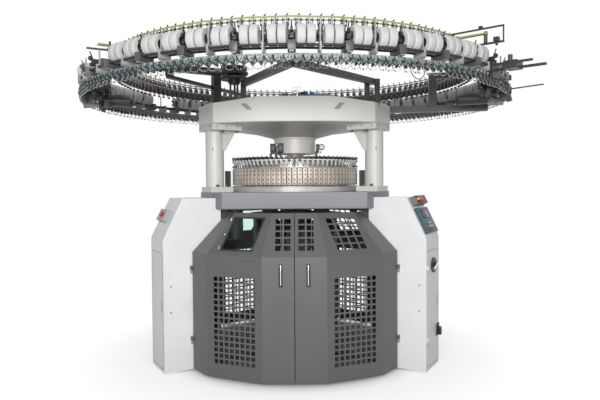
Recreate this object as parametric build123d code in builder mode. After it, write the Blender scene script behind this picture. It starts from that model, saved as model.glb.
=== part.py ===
from build123d import *
import os
from math import cos, hypot, pi, radians, sin, sqrt, tan

os.makedirs("parts", exist_ok=True)

# Large-diameter circular knitting machine, in millimetres.
# The origin lies on the floor on the vertical machine axis; the operator side faces -Y.

leg_angles = {"left": 210, "right": 330, "rear": 90}
sector_turns = {"front": 0, "right": 120, "left": 240}

# Flats on turned pieces, which keep the mesh light; bearings and pins stay round
ring_sides = 48
drum_sides = 24
small_sides = 16
pin_sides = 8

# Clearances
face_gap = 0.3          # between pieces that move past each other
running_fit = 0.05      # radial, journal in its bearing
sheet = 3               # folded sheet thickness

# Knitting head
cylinder_radius = 432   # 34 inch needle cylinder
cylinder_wall = 22
cylinder_verge = 1515   # height of the needle cylinder's upper edge
gear_radius = 488
gear_face = 62
cam_count = 80
cam_face_radius = 513
cam_height = 152
cam_groove = 6
cam_seat_height = 37
cam_seat_radius = 532
dial_thickness = 14
dial_cap_height = 30
dial_shaft_radius = 30
guide_ring_radius = 492
guide_ring_width = 14
guide_ring_height = 1548
guide_length = 34

# Bed, crown and posts
bed_top = 1303
bed_thickness = 127
bed_face_distance = 560
bed_face_half = 536
bed_end_distance = 778
bed_end_half = 110
crown_bottom = 1815
crown_height = 185
crown_face_distance = 610
crown_face_half = 265
crown_end_distance = 780
crown_end_half = 150
crown_end_drop = 36
crown_cone_radius = 480
crown_cone_depth = 78
lift_slot_height = 1927
post_distance = 707
post_radius = 70
post_flange = 45
post_base_height = 40
gusset_height = 150
column_radius = 170
column_length = 130
column_neck_radius = 58

# Legs, cabinets and guards
foot_height = 20
leg_half = 100
leg_inner = 640
leg_outer = 860
leg_toe = 1060
leg_foot_radius = 32
hub_foot_radius = 50
hub_radius = 120
pin_radius = 40
pin_top = 150
cabinet_bottom = 12
cabinet_outer = 1165
cabinet_half = 150
cabinet_inner = 783
cabinet_fold_height = 970
cabinet_top = 1262
cabinet_slope_top = 1020
cabinet_strap_low = 320
cabinet_strap_high = 1090
guard_bottom = 22
guard_fold_height = 875
guard_top = 1155
guard_slope_run = 280
guard_corners = [(218, -960), (612, -798), (744, -621)]
guard_split = 2.5       # half the gap between two leaves
hinge_pin_radius = 5
hinge_eye_radius = 9
hinge_eye_height = 30
hinge_clear = 12        # hinge pin axis to the cabinet side
hinge_radius = 963      # hinge pin axis from the machine axis, along the leg
hinge_heights = (243, 759)
mesh_hole = 29
mesh_pitch = 41
mesh_columns = 8
mesh_rows = 15
mesh_height = 425
vent_hole = 46
vent_pitch = 60
vent_rows = 5
handle_x = 93
handle_height = 751
handle_length = 146
handle_width = 20

# Take-down inside the legs
takedown_half = 340
takedown_depth = 240
takedown_plate = 22
takedown_hub = 70
takedown_top = 1105
roller_radius = 38
roller_height = 720
shaft_height = 420
shaft_radius = 30
journal_radius = 14

# Overhead rings
unit_count = 66
bare_units = (10, 11, 22, 23, 24, 25, 42, 44, 45, 46, 47)    # without rolls, beside the drive units
roll_radius = 62.5
roll_sides = 12         # sets a corner of the prism on each drive roller
roll_width = 49
roll_ring_radius = 1610
rod_size = 14
rod_spread = 38
rail_half = 20
rail_depth = 18
rail_top = 2078
bracket_height = 34
stop_rail_width = 16
stop_rail_depth = 28
feeder_inner = 1380
feeder_depth = 28
feeder_width = 30
feeder_top = 2345
feeder_length = 170
feeder_rail_width = 30
feeder_rail_bottom = 2240
belt_width = 10
belt_thickness = 2
strut_size = 42
arm_width = 34
arm_depth = 45
mast_distance = 690

bed_bottom = bed_top - bed_thickness
crown_top = crown_bottom + crown_height
cam_bottom = bed_top + cam_seat_height
cam_top = cam_bottom + cam_height
post_top = crown_bottom
post_flange_bottom = post_top - post_flange
column_top = crown_bottom - crown_cone_depth
column_bottom = column_top - column_length
dial_bottom = cylinder_verge - dial_thickness
dial_cap_bottom = cylinder_verge + face_gap
dial_cap_top = dial_cap_bottom + dial_cap_height
rail_bottom = rail_top - rail_depth


def write(piece, name):
    piece.label = name
    export_step(piece, f"parts/{name}.step")


def turned(points, angle):
    """Plan points turned about the machine axis."""
    c, s = cos(radians(angle)), sin(radians(angle))
    return [(x * c - y * s, x * s + y * c) for x, y in points]


def three_sided(face_distance, face_half, end_distance, end_half):
    """Plan outline with a broad face in each sector and a short end over each leg."""
    outline = []
    for turn in sector_turns.values():
        outline += turned([(-face_half, -face_distance), (face_half, -face_distance)], turn)
        outline += turned([(end_distance, -end_half), (end_distance, end_half)], turn - 30)
    return outline


def radial_plane(angle, distance=0.0, height=0.0):
    """Upright plane through the machine axis: x runs outwards, y runs up."""
    out = Vector(cos(radians(angle)), sin(radians(angle)), 0)
    return Plane(origin=out * distance + Vector(0, 0, height), x_dir=out, z_dir=out.rotate(Axis.Z, -90))


# Ground spider that carries the take-down bearing pin, with the levelling feet of hub and legs
spider_top = foot_height + 40
with BuildPart() as base_spider:
    with BuildSketch(Plane.XY.offset(foot_height)):
        RegularPolygon(hub_radius, small_sides)
        for angle in leg_angles.values():
            with Locations(Location((0, 0, 0), (0, 0, angle))):
                with Locations((leg_inner / 2, 0)):
                    Rectangle(leg_inner, 2 * leg_half - 60)
    extrude(amount=spider_top - foot_height)
    with BuildSketch(Plane.XY.offset(spider_top)):
        Circle(pin_radius)
    extrude(amount=pin_top - spider_top)
    with BuildSketch():
        RegularPolygon(hub_foot_radius, small_sides)
        for angle in leg_angles.values():
            with Locations(*turned([(leg_inner + 50, 0), (leg_toe - 60, 0)], angle)):
                RegularPolygon(leg_foot_radius, small_sides)
    extrude(amount=foot_height)
write(base_spider.part, "base_spider")

# Cast legs, each with a toe, a waisted column and a head under the bed
with BuildPart() as leg:
    with BuildSketch(Plane.XZ):
        with BuildLine():
            Polyline(
                (leg_inner, foot_height), (leg_toe, foot_height), (leg_toe, foot_height + 70),
                (leg_outer, foot_height + 170), (leg_outer, bed_bottom), (leg_inner, bed_bottom),
                (leg_inner, bed_bottom - 120), (leg_inner + 70, bed_bottom - 240),
                (leg_inner + 70, foot_height + 170), (leg_inner, foot_height + 70), close=True)
        make_face()
    extrude(amount=leg_half, both=True)
    for side in (leg_half, -leg_half):
        with BuildSketch(Plane.XZ.offset(side)):
            with Locations(((leg_inner + 70 + leg_outer) / 2, bed_bottom / 2)):
                Rectangle(100, bed_bottom - 500)
        extrude(amount=-side * 0.8, mode=Mode.SUBTRACT)
for name, angle in leg_angles.items():
    write(leg.part.rotate(Axis.Z, angle), f"leg_{name}")

# Cast bed: a bore for the cylinder gear's neck over an open gear chamber
neck_radius = cylinder_radius + 12
chamber_depth = gear_face + 25
pinion_radius = 40
pinion_distance = gear_radius + pinion_radius + 0.5
with BuildPart() as bed_plate:
    with BuildSketch(Plane.XY.offset(bed_bottom)):
        with BuildLine():
            Polyline(
                *three_sided(bed_face_distance, bed_face_half, bed_end_distance, bed_end_half),
                close=True)
        make_face()
    extrude(amount=bed_thickness)
    chamfer(bed_plate.faces().sort_by(Axis.Z)[0].outer_wire().edges(), 6)
    with BuildSketch(Plane.XY.offset(bed_bottom)):
        RegularPolygon(gear_radius + 6, ring_sides)
        with Locations(radial_plane(210, pinion_distance).location.position):
            RegularPolygon(pinion_radius + 6, small_sides)
    extrude(amount=chamber_depth, mode=Mode.SUBTRACT)
    with BuildSketch(Plane.XY.offset(bed_bottom)):
        RegularPolygon(neck_radius + face_gap, ring_sides, major_radius=False)
    extrude(amount=bed_thickness, mode=Mode.SUBTRACT)
write(bed_plate.part, "bed_plate")

# Posts with bolted feet and gusseted heads
with BuildPart() as post:
    with BuildSketch(Plane.XY.offset(bed_top)):
        with Locations((post_distance - 18, 0)):
            Rectangle(2 * post_radius + 36, 210)
    extrude(amount=post_base_height)
    with BuildSketch(Plane.XY.offset(bed_top)):
        with Locations((post_distance, 0)):
            RegularPolygon(post_radius, drum_sides)
    extrude(amount=post_top - bed_top)
    with BuildSketch(Plane.XY.offset(post_flange_bottom)):
        with Locations(((540 + crown_end_distance) / 2, 0)):
            Rectangle(crown_end_distance - 540, 2 * crown_end_half - 20)
    extrude(amount=post_flange)
    with BuildSketch(Plane.XZ):
        with BuildLine():
            Polyline(
                (post_distance, post_flange_bottom), (555, post_flange_bottom),
                (post_distance - post_radius + 4, post_flange_bottom - gusset_height),
                (post_distance, post_flange_bottom - gusset_height), close=True)
        make_face()
    extrude(amount=post_radius * 0.8, both=True)
for name, angle in leg_angles.items():
    write(post.part.rotate(Axis.Z, angle), f"post_{name}")

with BuildPart() as frame_bolts:
    for angle in leg_angles.values():
        with BuildSketch(Plane.XY.offset(bed_top + post_base_height)):
            with Locations(*turned([(r, t) for r in (650, 722) for t in (-88, 88)], angle)):
                RegularPolygon(12, 6)
        extrude(amount=18)
        with BuildSketch(Plane.XY.offset(post_flange_bottom)):
            with Locations(*turned([(r, t) for r in (572, 690) for t in (-115, 115)], angle)):
                RegularPolygon(12, 6)
        extrude(amount=-18)
write(frame_bolts.part, "frame_bolts")

# Crown: one casting with a broad face per sector, drooping arm ends and a conical underside
with BuildPart() as crown:
    with BuildSketch(Plane.XY.offset(crown_bottom)):
        with BuildLine():
            Polyline(
                *three_sided(crown_face_distance, crown_face_half, crown_end_distance, crown_end_half),
                close=True)
        make_face()
    extrude(amount=crown_height)
    droop_start = crown_face_half * sin(radians(60)) + crown_face_distance / 2
    for angle in leg_angles.values():
        with BuildSketch(radial_plane(angle)):
            with BuildLine():
                Polyline(
                    (droop_start, crown_top), (crown_end_distance + 5, crown_top),
                    (crown_end_distance + 5, crown_top - crown_end_drop), close=True)
            make_face()
        extrude(amount=600, both=True, mode=Mode.SUBTRACT)
    with BuildSketch(Plane.XY.offset(crown_bottom)):
        RegularPolygon(crown_cone_radius, drum_sides)
    with BuildSketch(Plane.XY.offset(column_top)):
        RegularPolygon(column_radius + 20, drum_sides)
    loft(ruled=True)
    with BuildSketch(Plane.XY.offset(column_top)):
        Circle(dial_shaft_radius + running_fit)
    extrude(amount=140, mode=Mode.SUBTRACT)
    face_corner = (crown_face_half, -crown_face_distance)
    end_corner = turned([(crown_end_distance, -crown_end_half)], -30)[0]
    for mirrored in (1, -1):
        start = Vector(face_corner[0] * mirrored, face_corner[1], lift_slot_height)
        run = Vector(end_corner[0] - face_corner[0], end_corner[1] - face_corner[1], 0)
        along = Vector(run.X * mirrored, run.Y, 0).normalized()
        outward = along.rotate(Axis.Z, -90 * mirrored)
        with BuildSketch(Plane(origin=start + along * 55, x_dir=along, z_dir=outward)):
            with BuildLine():
                Polyline((-30, -24), (18, -24), (40, 24), (-8, 24), close=True)
            make_face()
        extrude(amount=-40, mode=Mode.SUBTRACT)
write(crown.part, "crown")

# Fixed column under the crown, with the dial shaft's bearing through its neck
with BuildPart() as dial_column:
    for radius, sides, top, bottom in (
            (column_radius + 8, drum_sides, column_top, column_top - 14),
            (column_radius, drum_sides, column_top - 14, column_bottom),
            (column_neck_radius, small_sides, column_bottom, dial_cap_top)):
        with BuildSketch(Plane.XY.offset(bottom)):
            RegularPolygon(radius, sides)
            Circle(dial_shaft_radius + running_fit, mode=Mode.SUBTRACT)
        extrude(amount=top - bottom)
write(dial_column.part, "dial_column")

with BuildPart() as dial_cap:
    with BuildSketch(Plane.XY.offset(dial_cap_bottom)):
        RegularPolygon(cylinder_radius - 20, ring_sides)
    extrude(amount=dial_cap_height)
    chamfer(dial_cap.faces().sort_by(Axis.Z)[-1].outer_wire().edges(), 12)
    with BuildSketch(Plane.XY.offset(dial_cap_bottom)):
        Circle(dial_shaft_radius + running_fit)
    extrude(amount=dial_cap_height, mode=Mode.SUBTRACT)
write(dial_cap.part, "dial_cap")

# Cam box: a seat ring and a ring of cam plates with a groove between neighbours
with BuildPart() as cam_seat:
    with BuildSketch(Plane.XY.offset(bed_top)):
        RegularPolygon(cam_seat_radius, ring_sides)
        RegularPolygon(neck_radius + 8, ring_sides, major_radius=False, mode=Mode.SUBTRACT)
    extrude(amount=cam_seat_height)
write(cam_seat.part, "cam_seat")

with BuildPart() as cam_ring:
    with BuildSketch(Plane.XY.offset(cam_bottom)):
        with BuildLine():
            pitch = 2 * pi / cam_count
            rim = []
            for i in range(cam_count):
                half = pitch / 2 - cam_groove / 2 / cam_face_radius
                for a, r in ((i * pitch - half, cam_face_radius), (i * pitch + half, cam_face_radius),
                             ((i + 0.5) * pitch, cam_face_radius - cam_groove)):
                    rim.append((r * cos(a), r * sin(a)))
            Polyline(*rim, close=True)
        make_face()
        RegularPolygon(cylinder_radius + 4, ring_sides, major_radius=False, mode=Mode.SUBTRACT)
    extrude(amount=cam_height)
write(cam_ring.part, "cam_ring")

# Yarn guide ring on short legs over the cam ring, with one guide per feed
with BuildPart() as guide_ring:
    with BuildSketch(Plane.XY.offset(guide_ring_height)):
        RegularPolygon(guide_ring_radius, cam_count // 2)
        RegularPolygon(guide_ring_radius - guide_ring_width, cam_count // 2, mode=Mode.SUBTRACT)
    extrude(amount=10)
    with BuildSketch(Plane.XY.offset(cam_top)):
        with PolarLocations(guide_ring_radius - guide_ring_width / 2, 8):
            Rectangle(8, 12)
    extrude(amount=guide_ring_height - cam_top)
write(guide_ring.part, "guide_ring")

with BuildPart() as yarn_guide:
    with BuildSketch(radial_plane(0, guide_ring_radius - guide_ring_width, guide_ring_height)):
        with BuildLine():
            Polyline((2, 0), (12, 0), (-16, -guide_length), close=True)
        make_face()
    extrude(amount=6, both=True)
with BuildPart() as yarn_guides:
    with PolarLocations(0, cam_count, start_angle=180 / cam_count):
        add(yarn_guide.part)
write(yarn_guides.part, "yarn_guides")

# Terminal boxes beside the cam ring, and the two on the crown that its cables run between
cable_box = (50, 50, 36)
cable_start = (-40, -480)
cable_end = (350, -330)
with BuildPart() as terminal_boxes:
    for side in (-1, 1):
        with BuildSketch(Plane.XY.offset(bed_top)):
            with Locations((side * (cam_seat_radius + 24), 0)):
                Rectangle(40, 90)
        extrude(amount=cam_seat_height + cam_height - 20)
    with BuildSketch(Plane.XY.offset(crown_top)):
        with Locations((cable_start[0] - cable_box[0] / 2, cable_start[1] + 9),
                       (cable_end[0], cable_end[1] + cable_box[1] / 2)):
            Rectangle(*cable_box[:2])
    extrude(amount=cable_box[2])
write(terminal_boxes.part, "terminal_boxes")

# Needle cylinder on its driven gear, and the dial that turns with it
with BuildPart() as cylinder_gear:
    gear_bottom = bed_bottom + 12
    with BuildSketch(Plane.XY.offset(gear_bottom)):
        RegularPolygon(gear_radius, ring_sides)
    extrude(amount=gear_face)
    with BuildSketch(Plane.XY.offset(gear_bottom)):
        RegularPolygon(neck_radius, ring_sides)
    extrude(amount=bed_top - gear_bottom)
    with BuildSketch(Plane.XY.offset(gear_bottom)):
        Circle(cylinder_radius - 62)
    extrude(amount=bed_top - gear_bottom, mode=Mode.SUBTRACT)
write(cylinder_gear.part, "cylinder_gear")

with BuildPart() as needle_cylinder:
    with BuildSketch(Plane.XY.offset(bed_top)):
        RegularPolygon(cylinder_radius, ring_sides)
        RegularPolygon(cylinder_radius - cylinder_wall, ring_sides, major_radius=False, mode=Mode.SUBTRACT)
    extrude(amount=cylinder_verge - bed_top)
    with BuildSketch(Plane.XY.offset(bed_top)):
        RegularPolygon(cylinder_radius, ring_sides)
        RegularPolygon(cylinder_radius - 55, ring_sides, major_radius=False, mode=Mode.SUBTRACT)
    extrude(amount=18)
write(needle_cylinder.part, "needle_cylinder")

with BuildPart() as needle_dial:
    with BuildSketch(Plane.XY.offset(dial_bottom)):
        RegularPolygon(cylinder_radius - cylinder_wall - 2, ring_sides)
    extrude(amount=dial_thickness)
    with BuildSketch(Plane.XY.offset(cylinder_verge)):
        Circle(dial_shaft_radius)
    extrude(amount=column_top + 130 - cylinder_verge)
write(needle_dial.part, "needle_dial")

# Drive motor hung under the bed, with the pinion on its shaft
motor_top = bed_bottom
with BuildPart() as drive_motor:
    with BuildSketch(Plane.XY.offset(motor_top)):
        with Locations(radial_plane(210, pinion_distance + 14).location.position):
            RegularPolygon(62, small_sides)
        with Locations(radial_plane(210, pinion_distance).location.position):
            Circle(12 + running_fit, mode=Mode.SUBTRACT)
    extrude(amount=-240)
    split(bisect_by=Plane.XY.offset(motor_top), keep=Keep.BOTTOM)
write(drive_motor.part, "drive_motor")

with BuildPart() as drive_pinion:
    with BuildSketch(Plane.XY.offset(gear_bottom + 2)):
        with Locations(radial_plane(210, pinion_distance).location.position):
            RegularPolygon(pinion_radius, small_sides)
    extrude(amount=gear_face - 4)
    with BuildSketch(Plane.XY.offset(motor_top - 200)):
        with Locations(radial_plane(210, pinion_distance).location.position):
            Circle(12)
    extrude(amount=220)
write(drive_pinion.part, "drive_pinion")

# Take-down frame that turns with the cylinder, on the spider's pin
nip_half = roller_radius + face_gap / 2
with BuildPart() as takedown_frame:
    with BuildSketch(Plane.XY.offset(takedown_top)):
        RegularPolygon(takedown_half + 40, 24)
        RegularPolygon(takedown_half - 60, 24, mode=Mode.SUBTRACT)
    extrude(amount=20)
    for side in (-1, 1):
        with BuildSketch(Plane.YZ.offset(side * takedown_half)):
            with BuildLine():
                Polyline(
                    (-takedown_depth / 2, takedown_top), (takedown_depth / 2, takedown_top),
                    (takedown_depth / 2, 330), (70, 200), (-70, 200), (-takedown_depth / 2, 330), close=True)
            make_face()
            with Locations((-nip_half, roller_height), (nip_half, roller_height), (0, shaft_height)):
                Circle(journal_radius + running_fit, mode=Mode.SUBTRACT)
        extrude(amount=-side * takedown_plate)
    with BuildSketch(Plane.XY.offset(200)):
        Rectangle(2 * takedown_half, 110)
        RegularPolygon(takedown_hub, small_sides)
    extrude(amount=55)
    with BuildSketch(Plane.XY.offset(spider_top + face_gap)):
        RegularPolygon(takedown_hub, small_sides)
        Circle(pin_radius + running_fit, mode=Mode.SUBTRACT)
    extrude(amount=pin_top - spider_top)
    with BuildSketch(Plane.XY.offset(pin_top + face_gap)):
        RegularPolygon(takedown_hub, small_sides)
    extrude(amount=200 - pin_top)
write(takedown_frame.part, "takedown_frame")

roller_length = 2 * (takedown_half - takedown_plate) - 4
for name, y in (("front", -nip_half), ("rear", nip_half)):
    with BuildPart() as nip_roller:
        with BuildSketch(Plane.YZ.offset(-roller_length / 2)):
            with Locations((y, roller_height)):
                RegularPolygon(roller_radius, small_sides)
        extrude(amount=roller_length)
        with BuildSketch(Plane.YZ.offset(-takedown_half)):
            with Locations((y, roller_height)):
                Circle(journal_radius)
        extrude(amount=2 * takedown_half)
    write(nip_roller.part, f"nip_roller_{name}")

with BuildPart() as fabric_shaft:
    with BuildSketch(Plane.YZ.offset(-roller_length / 2)):
        with Locations((0, shaft_height)):
            RegularPolygon(shaft_radius, small_sides)
    extrude(amount=roller_length)
    with BuildSketch(Plane.YZ.offset(-takedown_half)):
        with Locations((0, shaft_height)):
            Circle(journal_radius)
    extrude(amount=2 * takedown_half)
write(fabric_shaft.part, "fabric_shaft")

# White sheet cabinets round the legs, with a sloped console face
with BuildPart() as cabinet:
    with BuildSketch(Plane.XY.offset(cabinet_bottom)):
        with BuildLine():
            Polyline(
                (cabinet_inner, -cabinet_half), (cabinet_outer, -cabinet_half),
                (cabinet_outer, cabinet_half), (cabinet_inner, cabinet_half), close=True)
        make_face()
    extrude(amount=cabinet_top - cabinet_bottom)
    with BuildSketch(Plane.XZ):
        with BuildLine():
            Polyline(
                (cabinet_outer, cabinet_fold_height), (cabinet_outer + 5, cabinet_top + 5),
                (cabinet_slope_top, cabinet_top + 5), (cabinet_slope_top, cabinet_top), close=True)
        make_face()
    extrude(amount=300, both=True, mode=Mode.SUBTRACT)
    inner_end = cabinet.faces().sort_by(Axis.X)[0]
    underside = cabinet.faces().sort_by(Axis.Z)[0]
    offset(amount=-sheet, openings=[inner_end, underside])
    for z in (cabinet_strap_low, cabinet_strap_high):
        with BuildSketch(Plane.YZ.offset(leg_outer)):
            with Locations((0, z)):
                Rectangle(2 * cabinet_half - sheet, 60)
        extrude(amount=sheet)
for name, angle in leg_angles.items():
    if name != "right":
        write(cabinet.part.rotate(Axis.Z, angle), f"cabinet_{name}")

# The right cabinet holds the electrics behind a hinged door
door_bottom = 40
door_top = 876
door_half = cabinet_half - 14
with BuildPart() as electric_cabinet:
    add(cabinet.part)
    with BuildSketch(Plane.YZ.offset(cabinet_outer + 1)):
        with Locations((0, (door_bottom + door_top) / 2)):
            Rectangle(2 * door_half - 24, door_top - door_bottom - 24)
    extrude(amount=-sheet - 2, mode=Mode.SUBTRACT)
write(electric_cabinet.part.rotate(Axis.Z, leg_angles["right"]), "cabinet_right")

door_pin_y = -door_half - 6
door_pin_x = cabinet_outer + 10
switch_height = 765
latch_height = 269
latch_y = door_half - 30
spindle_radius = 6
with BuildPart() as cabinet_door:
    with BuildSketch(Plane.YZ.offset(cabinet_outer + face_gap)):
        with Locations((0, (door_bottom + door_top) / 2)):
            Rectangle(2 * door_half, door_top - door_bottom)
        with Locations((0, switch_height), (latch_y, latch_height)):
            RegularPolygon(spindle_radius + running_fit, pin_sides, major_radius=False, mode=Mode.SUBTRACT)
        with Locations((latch_y, 488)):
            Rectangle(8, 90, mode=Mode.SUBTRACT)
    extrude(amount=sheet)
    for z in hinge_heights:
        with BuildSketch(Plane.XY.offset(z - hinge_eye_height / 2)):
            with Locations((door_pin_x, door_pin_y)):
                RegularPolygon(hinge_eye_radius - 2, pin_sides)
            with Locations((cabinet_outer + face_gap + 4, door_pin_y + 6)):
                Rectangle(8, 12)
            with Locations((door_pin_x, door_pin_y)):
                Circle(hinge_pin_radius - 1 + running_fit, mode=Mode.SUBTRACT)
        extrude(amount=hinge_eye_height)
write(cabinet_door.part.rotate(Axis.Z, leg_angles["right"]), "cabinet_door")

door_face = cabinet_outer + face_gap + sheet
with BuildPart() as main_switch:
    with BuildSketch(Plane.YZ.offset(door_face + face_gap)):
        with Locations((0, switch_height)):
            RegularPolygon(36, small_sides)
    extrude(amount=8)
    with BuildSketch(Plane.YZ.offset(door_face + face_gap + 8)):
        with Locations((0, switch_height)):
            Rectangle(16, 68)
    extrude(amount=22)
    with BuildSketch(Plane.YZ.offset(cabinet_outer + face_gap)):
        with Locations((0, switch_height)):
            Circle(spindle_radius)
    extrude(amount=sheet + face_gap + 4)
write(main_switch.part.rotate(Axis.Z, leg_angles["right"]), "main_switch")

with BuildPart() as latch_handle:
    with BuildSketch(Plane.YZ.offset(door_face + face_gap)):
        with Locations((latch_y, latch_height)):
            Rectangle(24, 84)
        chamfer(vertices(), 8)
    extrude(amount=14)
    with BuildSketch(Plane.YZ.offset(cabinet_outer + face_gap)):
        with Locations((latch_y, latch_height)):
            Circle(spindle_radius)
    extrude(amount=sheet + face_gap + 4)
write(latch_handle.part.rotate(Axis.Z, leg_angles["right"]), "latch_handle")

# Folded guard leaves: an upright skirt and a slope, cut at the door split and beside the leg
leg_front = -30
hinge_off = cabinet_half + hinge_clear
leaf_edge_off = hinge_off + 6


def leg_point(along, off, angle=leg_front):
    """Plan point beside the right leg: off is measured from its centre line towards the front."""
    return turned([(along, -off)], angle)[0]


def guard_outline(inset):
    """Outer plan outline of the front sector, drawn past the hinge edges and over the machine."""
    p1, p2, p3 = guard_corners
    far = (p2[0] + 2.5 * (p3[0] - p2[0]), p2[1] + 2.5 * (p3[1] - p2[1]))
    right = [p1, p2, far, (far[0], 600)]
    left = [(-x, y) for x, y in reversed(right)]
    with BuildSketch(mode=Mode.PRIVATE) as outline:
        with BuildLine():
            Polyline(*left, *right, close=True)
        make_face()
        if inset:
            offset(amount=-inset, kind=Kind.INTERSECTION, mode=Mode.REPLACE)
    return outline.sketch


def panel_plane(p, q, height=0.0, rise=0.0):
    """Plane on a guard panel from p to q, or on its slope at a rise over the fold."""
    along = Vector(q[0] - p[0], q[1] - p[1], 0).normalized()
    outward = along.rotate(Axis.Z, -90)
    middle = Vector((p[0] + q[0]) / 2, (p[1] + q[1]) / 2, height)
    if rise:
        middle = middle - outward * rise + Vector(0, 0, guard_fold_height + rise)
        outward = (outward + Vector(0, 0, 1)).normalized()
    return Plane(origin=middle, x_dir=along, z_dir=outward)


door_panel = ((0, guard_corners[0][1]), guard_corners[0])
wing_panel = (guard_corners[0], guard_corners[1])
handle_plane = Plane(
    origin=(handle_x, door_panel[1][1], handle_height), x_dir=(1, 0, 0), z_dir=(0, -1, 0))
window_size = (226, 286)


def guard_leaf(punched, window):
    """Right-hand leaf of a sector; the left one is its mirror image."""
    fold_shift = sheet * (sqrt(2) - 1)
    with BuildPart() as leaf:
        add(guard_outline(0).moved(Location((0, 0, guard_bottom))))
        extrude(amount=guard_fold_height - guard_bottom)
        add(guard_outline(0).moved(Location((0, 0, guard_fold_height))))
        extrude(amount=guard_slope_run, taper=45)
        add(guard_outline(sheet).moved(Location((0, 0, guard_bottom))))
        extrude(amount=guard_fold_height - fold_shift - guard_bottom, mode=Mode.SUBTRACT)
        add(guard_outline(sheet).moved(Location((0, 0, guard_fold_height - fold_shift))))
        extrude(amount=guard_slope_run + sheet, taper=45, mode=Mode.SUBTRACT)
        start = (guard_split + leaf_edge_off * sin(radians(30))) / cos(radians(30))
        with BuildSketch(Plane.XY):
            with BuildLine():
                Polyline(
                    leg_point(start, leaf_edge_off), leg_point(1500, leaf_edge_off), (1500, -1600),
                    (guard_split, -1600), close=True)
            make_face()
        extrude(amount=guard_top + 50, mode=Mode.INTERSECT)
        for z in hinge_heights:
            with BuildSketch(Plane.XY.offset(z - hinge_eye_height / 2)):
                with Locations(leg_point(hinge_radius, hinge_off)):
                    RegularPolygon(hinge_eye_radius, pin_sides)
                with Locations(Location((*leg_point(hinge_radius - 5, hinge_off + 9), 0), (0, 0, leg_front))):
                    Rectangle(8, 18)
                with Locations(leg_point(hinge_radius, hinge_off)):
                    Circle(hinge_pin_radius + running_fit, mode=Mode.SUBTRACT)
            extrude(amount=hinge_eye_height)
        if punched:
            with BuildSketch(handle_plane):
                Rectangle(handle_width, handle_length)
            extrude(amount=-3 * sheet, mode=Mode.SUBTRACT)
            with BuildSketch(panel_plane(*wing_panel, height=mesh_height)):
                with GridLocations(mesh_pitch, mesh_pitch, mesh_columns, mesh_rows):
                    Rectangle(mesh_hole, mesh_hole)
            extrude(amount=-3 * sheet, mode=Mode.SUBTRACT)
            with BuildSketch(panel_plane(*door_panel, rise=guard_slope_run / 2)):
                with Locations((-vent_pitch / 2, 0)):
                    with GridLocations(vent_pitch, vent_pitch, 2, vent_rows):
                        Rectangle(vent_hole, vent_hole)
            extrude(amount=-3 * sheet, mode=Mode.SUBTRACT)
            with BuildSketch(panel_plane(*wing_panel, rise=guard_slope_run / 2)):
                if window:
                    Rectangle(*window_size)
                else:
                    with GridLocations(vent_pitch, vent_pitch, 4, vent_rows):
                        Rectangle(vent_hole, vent_hole)
            extrude(amount=-3 * sheet, mode=Mode.SUBTRACT)
    return leaf.part


plain_leaf = guard_leaf(False, False)
write(guard_leaf(True, False), "front_guard_right")
write(guard_leaf(True, True).mirror(Plane.YZ), "front_guard_left")
for sector in ("right", "left"):
    turn = sector_turns[sector]
    near, far = ("front", "rear") if sector == "right" else ("rear", "front")
    write(plain_leaf.mirror(Plane.YZ).rotate(Axis.Z, turn), f"{sector}_guard_{near}")
    write(plain_leaf.rotate(Axis.Z, turn), f"{sector}_guard_{far}")

with BuildPart() as window_glass:
    with BuildSketch(panel_plane(*wing_panel, rise=guard_slope_run / 2).offset(-sheet)):
        Rectangle(window_size[0] + 24, window_size[1] + 24)
    extrude(amount=-4)
write(window_glass.part.mirror(Plane.YZ), "window_glass")

# Pull handles sunk in the front leaves: a tray behind the slot, with an upright bar across it
with BuildPart() as pull_handle:
    tray_plane = handle_plane.offset(-sheet)
    with BuildSketch(tray_plane):
        Rectangle(handle_width + 8, handle_length + 8)
    extrude(amount=-26)
    with BuildSketch(tray_plane):
        Rectangle(handle_width, handle_length)
    extrude(amount=-23, mode=Mode.SUBTRACT)
    with BuildSketch(tray_plane):
        Rectangle(8, handle_length)
    extrude(amount=-8)
write(pull_handle.part, "handle_right")
write(pull_handle.part.mirror(Plane.YZ), "handle_left")

# Lift-off hinge halves fixed to the cabinets, one lug and pin under each leaf eye
with BuildPart() as leaf_hinge:
    for z in hinge_heights:
        lug_top = z - hinge_eye_height / 2 - face_gap
        for side in (-1, 1):
            with BuildSketch(Plane.XY.offset(lug_top - 24)):
                with Locations((hinge_radius, side * (cabinet_half + hinge_clear / 2 + 3))):
                    Rectangle(2 * hinge_eye_radius - 6, hinge_clear + 6)
            extrude(amount=24)
            with BuildSketch(Plane.XY.offset(lug_top)):
                with Locations((hinge_radius, side * hinge_off)):
                    RegularPolygon(hinge_pin_radius, pin_sides)
            extrude(amount=hinge_eye_height + face_gap)
with BuildPart() as door_hinge:
    for z in hinge_heights:
        lug_top = z - hinge_eye_height / 2 - face_gap
        with BuildSketch(Plane.XY.offset(lug_top - 24)):
            with Locations((cabinet_outer + 8, door_pin_y - 1)):
                Rectangle(16, 12)
        extrude(amount=24)
        with BuildSketch(Plane.XY.offset(lug_top)):
            with Locations((door_pin_x, door_pin_y)):
                RegularPolygon(hinge_pin_radius - 1, pin_sides)
        extrude(amount=hinge_eye_height + face_gap)
with BuildPart() as hinge_pins:
    for angle in leg_angles.values():
        add(leaf_hinge.part.rotate(Axis.Z, angle))
    add(door_hinge.part.rotate(Axis.Z, leg_angles["right"]))
write(hinge_pins.part, "hinge_pins")

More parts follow.
